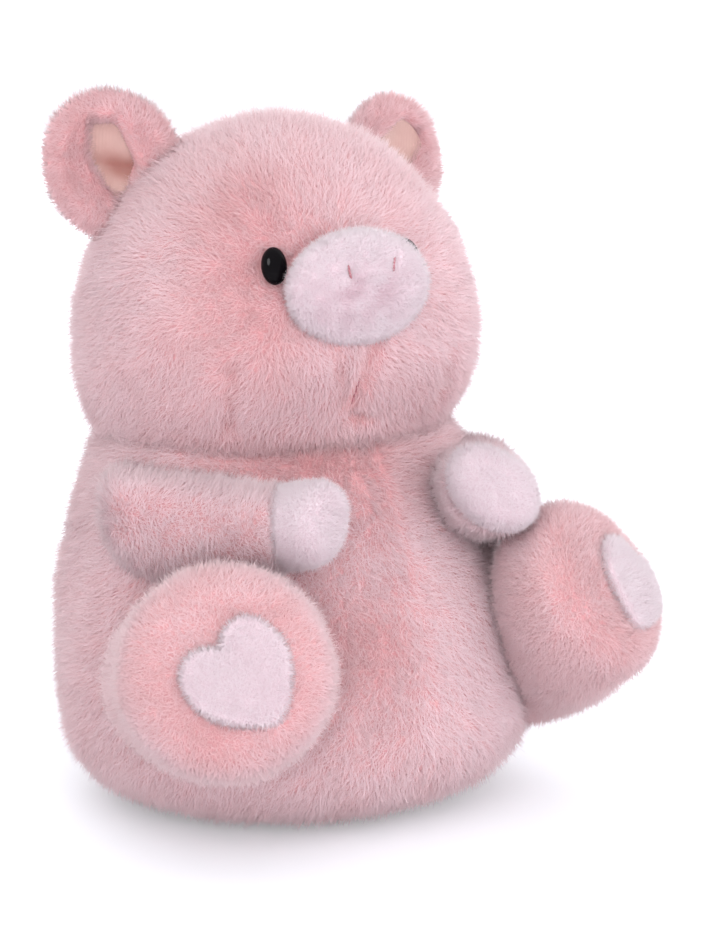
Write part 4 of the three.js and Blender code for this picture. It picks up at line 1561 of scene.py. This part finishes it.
for index, name in enumerate(sides):
    limb = arms[name]
    sleevePlan = dict(bodyPlan, seed=401 + index, density=2.6, length=6.2, lean=58, comb=combLimb(limb),
                      tone=dyesWithPaintedLightAndShade["arm"])
    growPile(f"arm_{name}_pile", limb["sleeve"], limb["bend"], pinkPile, sleevePlan, hiddenOnLimb)
    handPlan = dict(padPlan, seed=431 + index, density=6, length=3.8, lean=52, tone=dyesWithPaintedLightAndShade["hand"])
    growPile(f"hand_{name}_pile", limb["hand"], f"arm_{name}", palePile, handPlan)
    limb = legs[name]
    stand = soleStand(limb)
    legPlan = dict(bodyPlan, seed=501 + index, density=2.72, length=soleLength(limb), stray=1,
                   lean=leanFrom(stand, 58), comb=combLimb(limb),
                   tone=toneFrom(stand, dyesWithPaintedLightAndShade["leg"][name], stands["tone"]))
    growPile(f"leg_{name}_pile", limb["skin"], limb["bend"], pinkPile, legPlan, hiddenOnLimb)
    heartPlan = dict(padPlan, seed=531 + index, density=6.2, length=3.6, lean=50, tone=dyesWithPaintedLightAndShade["heart"][name])
    growPile(f"heart_{name}_pile", limb["heart"], f"leg_{name}", palePile, heartPlan)
    flap = ears[name]
    earPlan = dict(bodyPlan, seed=601 + index, density=3.7, length=earLength(flap, name), lean=56,
                   comb=combEar(flap), tone=dyesWithPaintedLightAndShade["ear"])
    growPile(f"ear_{name}_pile", flap["skin"], flap["bend"], pinkPile, earPlan, hiddenOnLimb)


# Safety eyes: domed ovals
def addEye(name):
    place = eyeFrame(name)
    bpy.ops.object.select_all(action="DESELECT")
    bpy.ops.mesh.primitive_uv_sphere_add(segments=64, ring_count=32, radius=1)
    eye = bpy.context.object
    eye.name = f"eye_{name}_dome"
    bpy.ops.object.mode_set(mode="EDIT")
    bpy.ops.mesh.select_all(action="SELECT")
    bpy.ops.transform.resize(value=[half * millimetre for half in eyes["size"]])
    bpy.ops.object.mode_set(mode="OBJECT")
    turn = Matrix([list(axis) for axis in place["axes"]]).transposed().to_4x4()
    eye.data.transform(Matrix.Translation(Vector(place["origin"]) * millimetre) @ turn)
    eye.data.shade_smooth()
    eye.data.materials.append(blackPlastic[0])
    settle(eye, "head", blackPlastic[1], f"eye_{name}")


for name in sides:
    addEye(name)
print("eyes added")


def dressNode(name, material):
    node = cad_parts[name]
    node.data.materials.clear()
    node.data.materials.append(material)


dressNode("seat_bean_bag", pelletCotton)
for name in sides:
    dressNode(f"eye_{name}_washer", clearNylon)

# Stitches drawn into the pile: one at each nostril and the mouth's seam
stitches = {
    "around": 10,
    "nostrilPoints": 16,
    "nostrilRadius": 0.48,
    "nostrilForward": 1.3,
    "seamPoints": 20,
    "seamRadius": 0.4,
    "seamForward": 0.5,
    # From the head's widest level, and how far across the seam is at three depths below it
    "seamDrop": (-9, -27),
    "seamPath": ((6, 17, 27), (5, 4.5, 4)),
}


def addStitch(name, path, radius, node):
    ends = np.sqrt(np.clip(1 - np.linspace(-1, 1, len(path)) ** 6, 0.05, 1))
    points, faces = tube(path, np.array([0, -1, 0]), radius * ends, stitches["around"])
    settle(makeObject(name, points, faces, pinkThread[0]), "head", pinkThread[1], node)


def foremostAt(form, across, height):
    # How far forward a form's front is at a place across and a height
    spots = form.points[form.normals[:, 1] < -0.2]
    nearest = np.argsort(np.hypot(spots[:, 0] - across, spots[:, 2] - height))[:4]
    return spots[nearest, 1].mean()


for name, side in sides.items():
    spots = []
    for share in np.linspace(0, 1, stitches["nostrilPoints"]):
        across, rise = nostrilLine(side, share)
        height = snoutMiddle[2] + rise
        spots.append((across, foremostAt(snoutSkin, across, height) - stitches["nostrilForward"], height))
    addStitch(f"nostril_{name}", np.array(spots), stitches["nostrilRadius"], f"nostril_stitch_{name}")
drop = np.linspace(*stitches["seamDrop"], stitches["seamPoints"])
across = np.interp(-drop, *stitches["seamPath"])
ahead = [foremostAt(headSkin, x, head["widest"] + rise) for x, rise in zip(across, drop)]
ahead = np.polyval(np.polyfit(drop, ahead, 3), drop) - stitches["seamForward"]
seamPath = np.column_stack([across, ahead, head["widest"] + drop])
addStitch("mouth_seam", seamPath, stitches["seamRadius"], "mouth_stitch")
print("stitches added")

# White studio: the floor's paint as the camera sees it and as it lights the pig, and places in metres
studio = {
    "floorSize": 30,
    "floorLit": (0.79, 0.76, 0.79, 1),
    "floorSeen": (0.75, 0.77, 0.82, 1),
    "floorFill": 0.25,
    "sky": 1.15,
    # Place, target, size, watts and colour
    "lamps": {
        "key": ((-0.7, -1.2, 2.1), (0, 0, 0.14), 1.6, 5, (1, 0.985, 0.97)),
        "front": ((-1.2, -1.9, 0.5), (0, 0, 0.12), 2.4, 30, (0.985, 0.985, 1)),
        "low": ((0.2, -2, 0.2), (0, 0, 0.1), 1.6, 11, (0.985, 0.985, 1)),
        "side": ((1.7, -0.9, 0.9), (0, 0, 0.14), 2, 9, (0.96, 0.975, 1)),
        "back": ((0.5, 2.3, 0.9), (0, 0, 0.14), 2.2, 18, (1, 0.99, 0.985)),
        "glint": ((-2, -0.6, 1.5), (0, 0, 0.2), 1.1, 46, (0.97, 0.98, 1)),
    },
}


def addFloor():
    bpy.ops.object.select_all(action="DESELECT")
    bpy.ops.mesh.primitive_plane_add(size=studio["floorSize"])
    floor = bpy.context.object
    floor.name = "studio_floor"
    material = bpy.data.materials.new("studio_white")
    material.use_nodes = True
    tree = material.node_tree
    tree.nodes.clear()
    path = addNode(tree, "LightPath", {})
    seen = path.outputs["Is Camera Ray"]
    paint = addNode(tree, "Mix", {0: seen, 6: studio["floorLit"], 7: studio["floorSeen"]}, data_type="RGBA")
    matt = addNode(tree, "BsdfDiffuse", {"Color": paint.outputs[2]})
    for kind in ("Is Glossy Ray", "Is Transmission Ray"):
        seen = addNode(tree, "Math", {0: seen, 1: path.outputs[kind]}, operation="ADD").outputs[0]
    fill = addNode(tree, "Math", {0: seen, 1: studio["floorFill"]}, operation="MULTIPLY")
    glow = addNode(tree, "Emission", {"Color": (1, 1, 1, 1), "Strength": fill.outputs[0]})
    both = addNode(tree, "AddShader", {0: matt.outputs[0], 1: glow.outputs[0]})
    addNode(tree, "OutputMaterial", {"Surface": both.outputs[0]})
    floor.data.materials.append(material)


def addWorld():
    world = bpy.data.worlds.new("studio")
    world.use_nodes = True
    bpy.context.scene.world = world
    tree = world.node_tree
    tree.nodes.clear()
    sky = addNode(tree, "Background", {"Color": (1, 1, 1, 1), "Strength": studio["sky"]})
    addNode(tree, "OutputWorld", {"Surface": sky.outputs[0]})


def addSoftLamp(name, place, target, size, energy, colour):
    data = bpy.data.lights.new(name, "AREA")
    data.shape = "DISK"
    data.size = size
    data.energy = energy
    data.color = colour
    lamp = linkNew(name, data)
    lamp.location = place
    # Only the glint shows in glossy surfaces, and it lights nothing else
    lamp.visible_diffuse = name != "glint"
    lamp.visible_glossy = name == "glint"
    lamp.rotation_euler = (Vector(place) - Vector(target)).to_track_quat("Z", "Y").to_euler()


addFloor()
addWorld()
for name, settings in studio["lamps"].items():
    addSoftLamp(name, *settings)
bpy.context.scene.view_settings.view_transform = "Standard"
print("studio made")
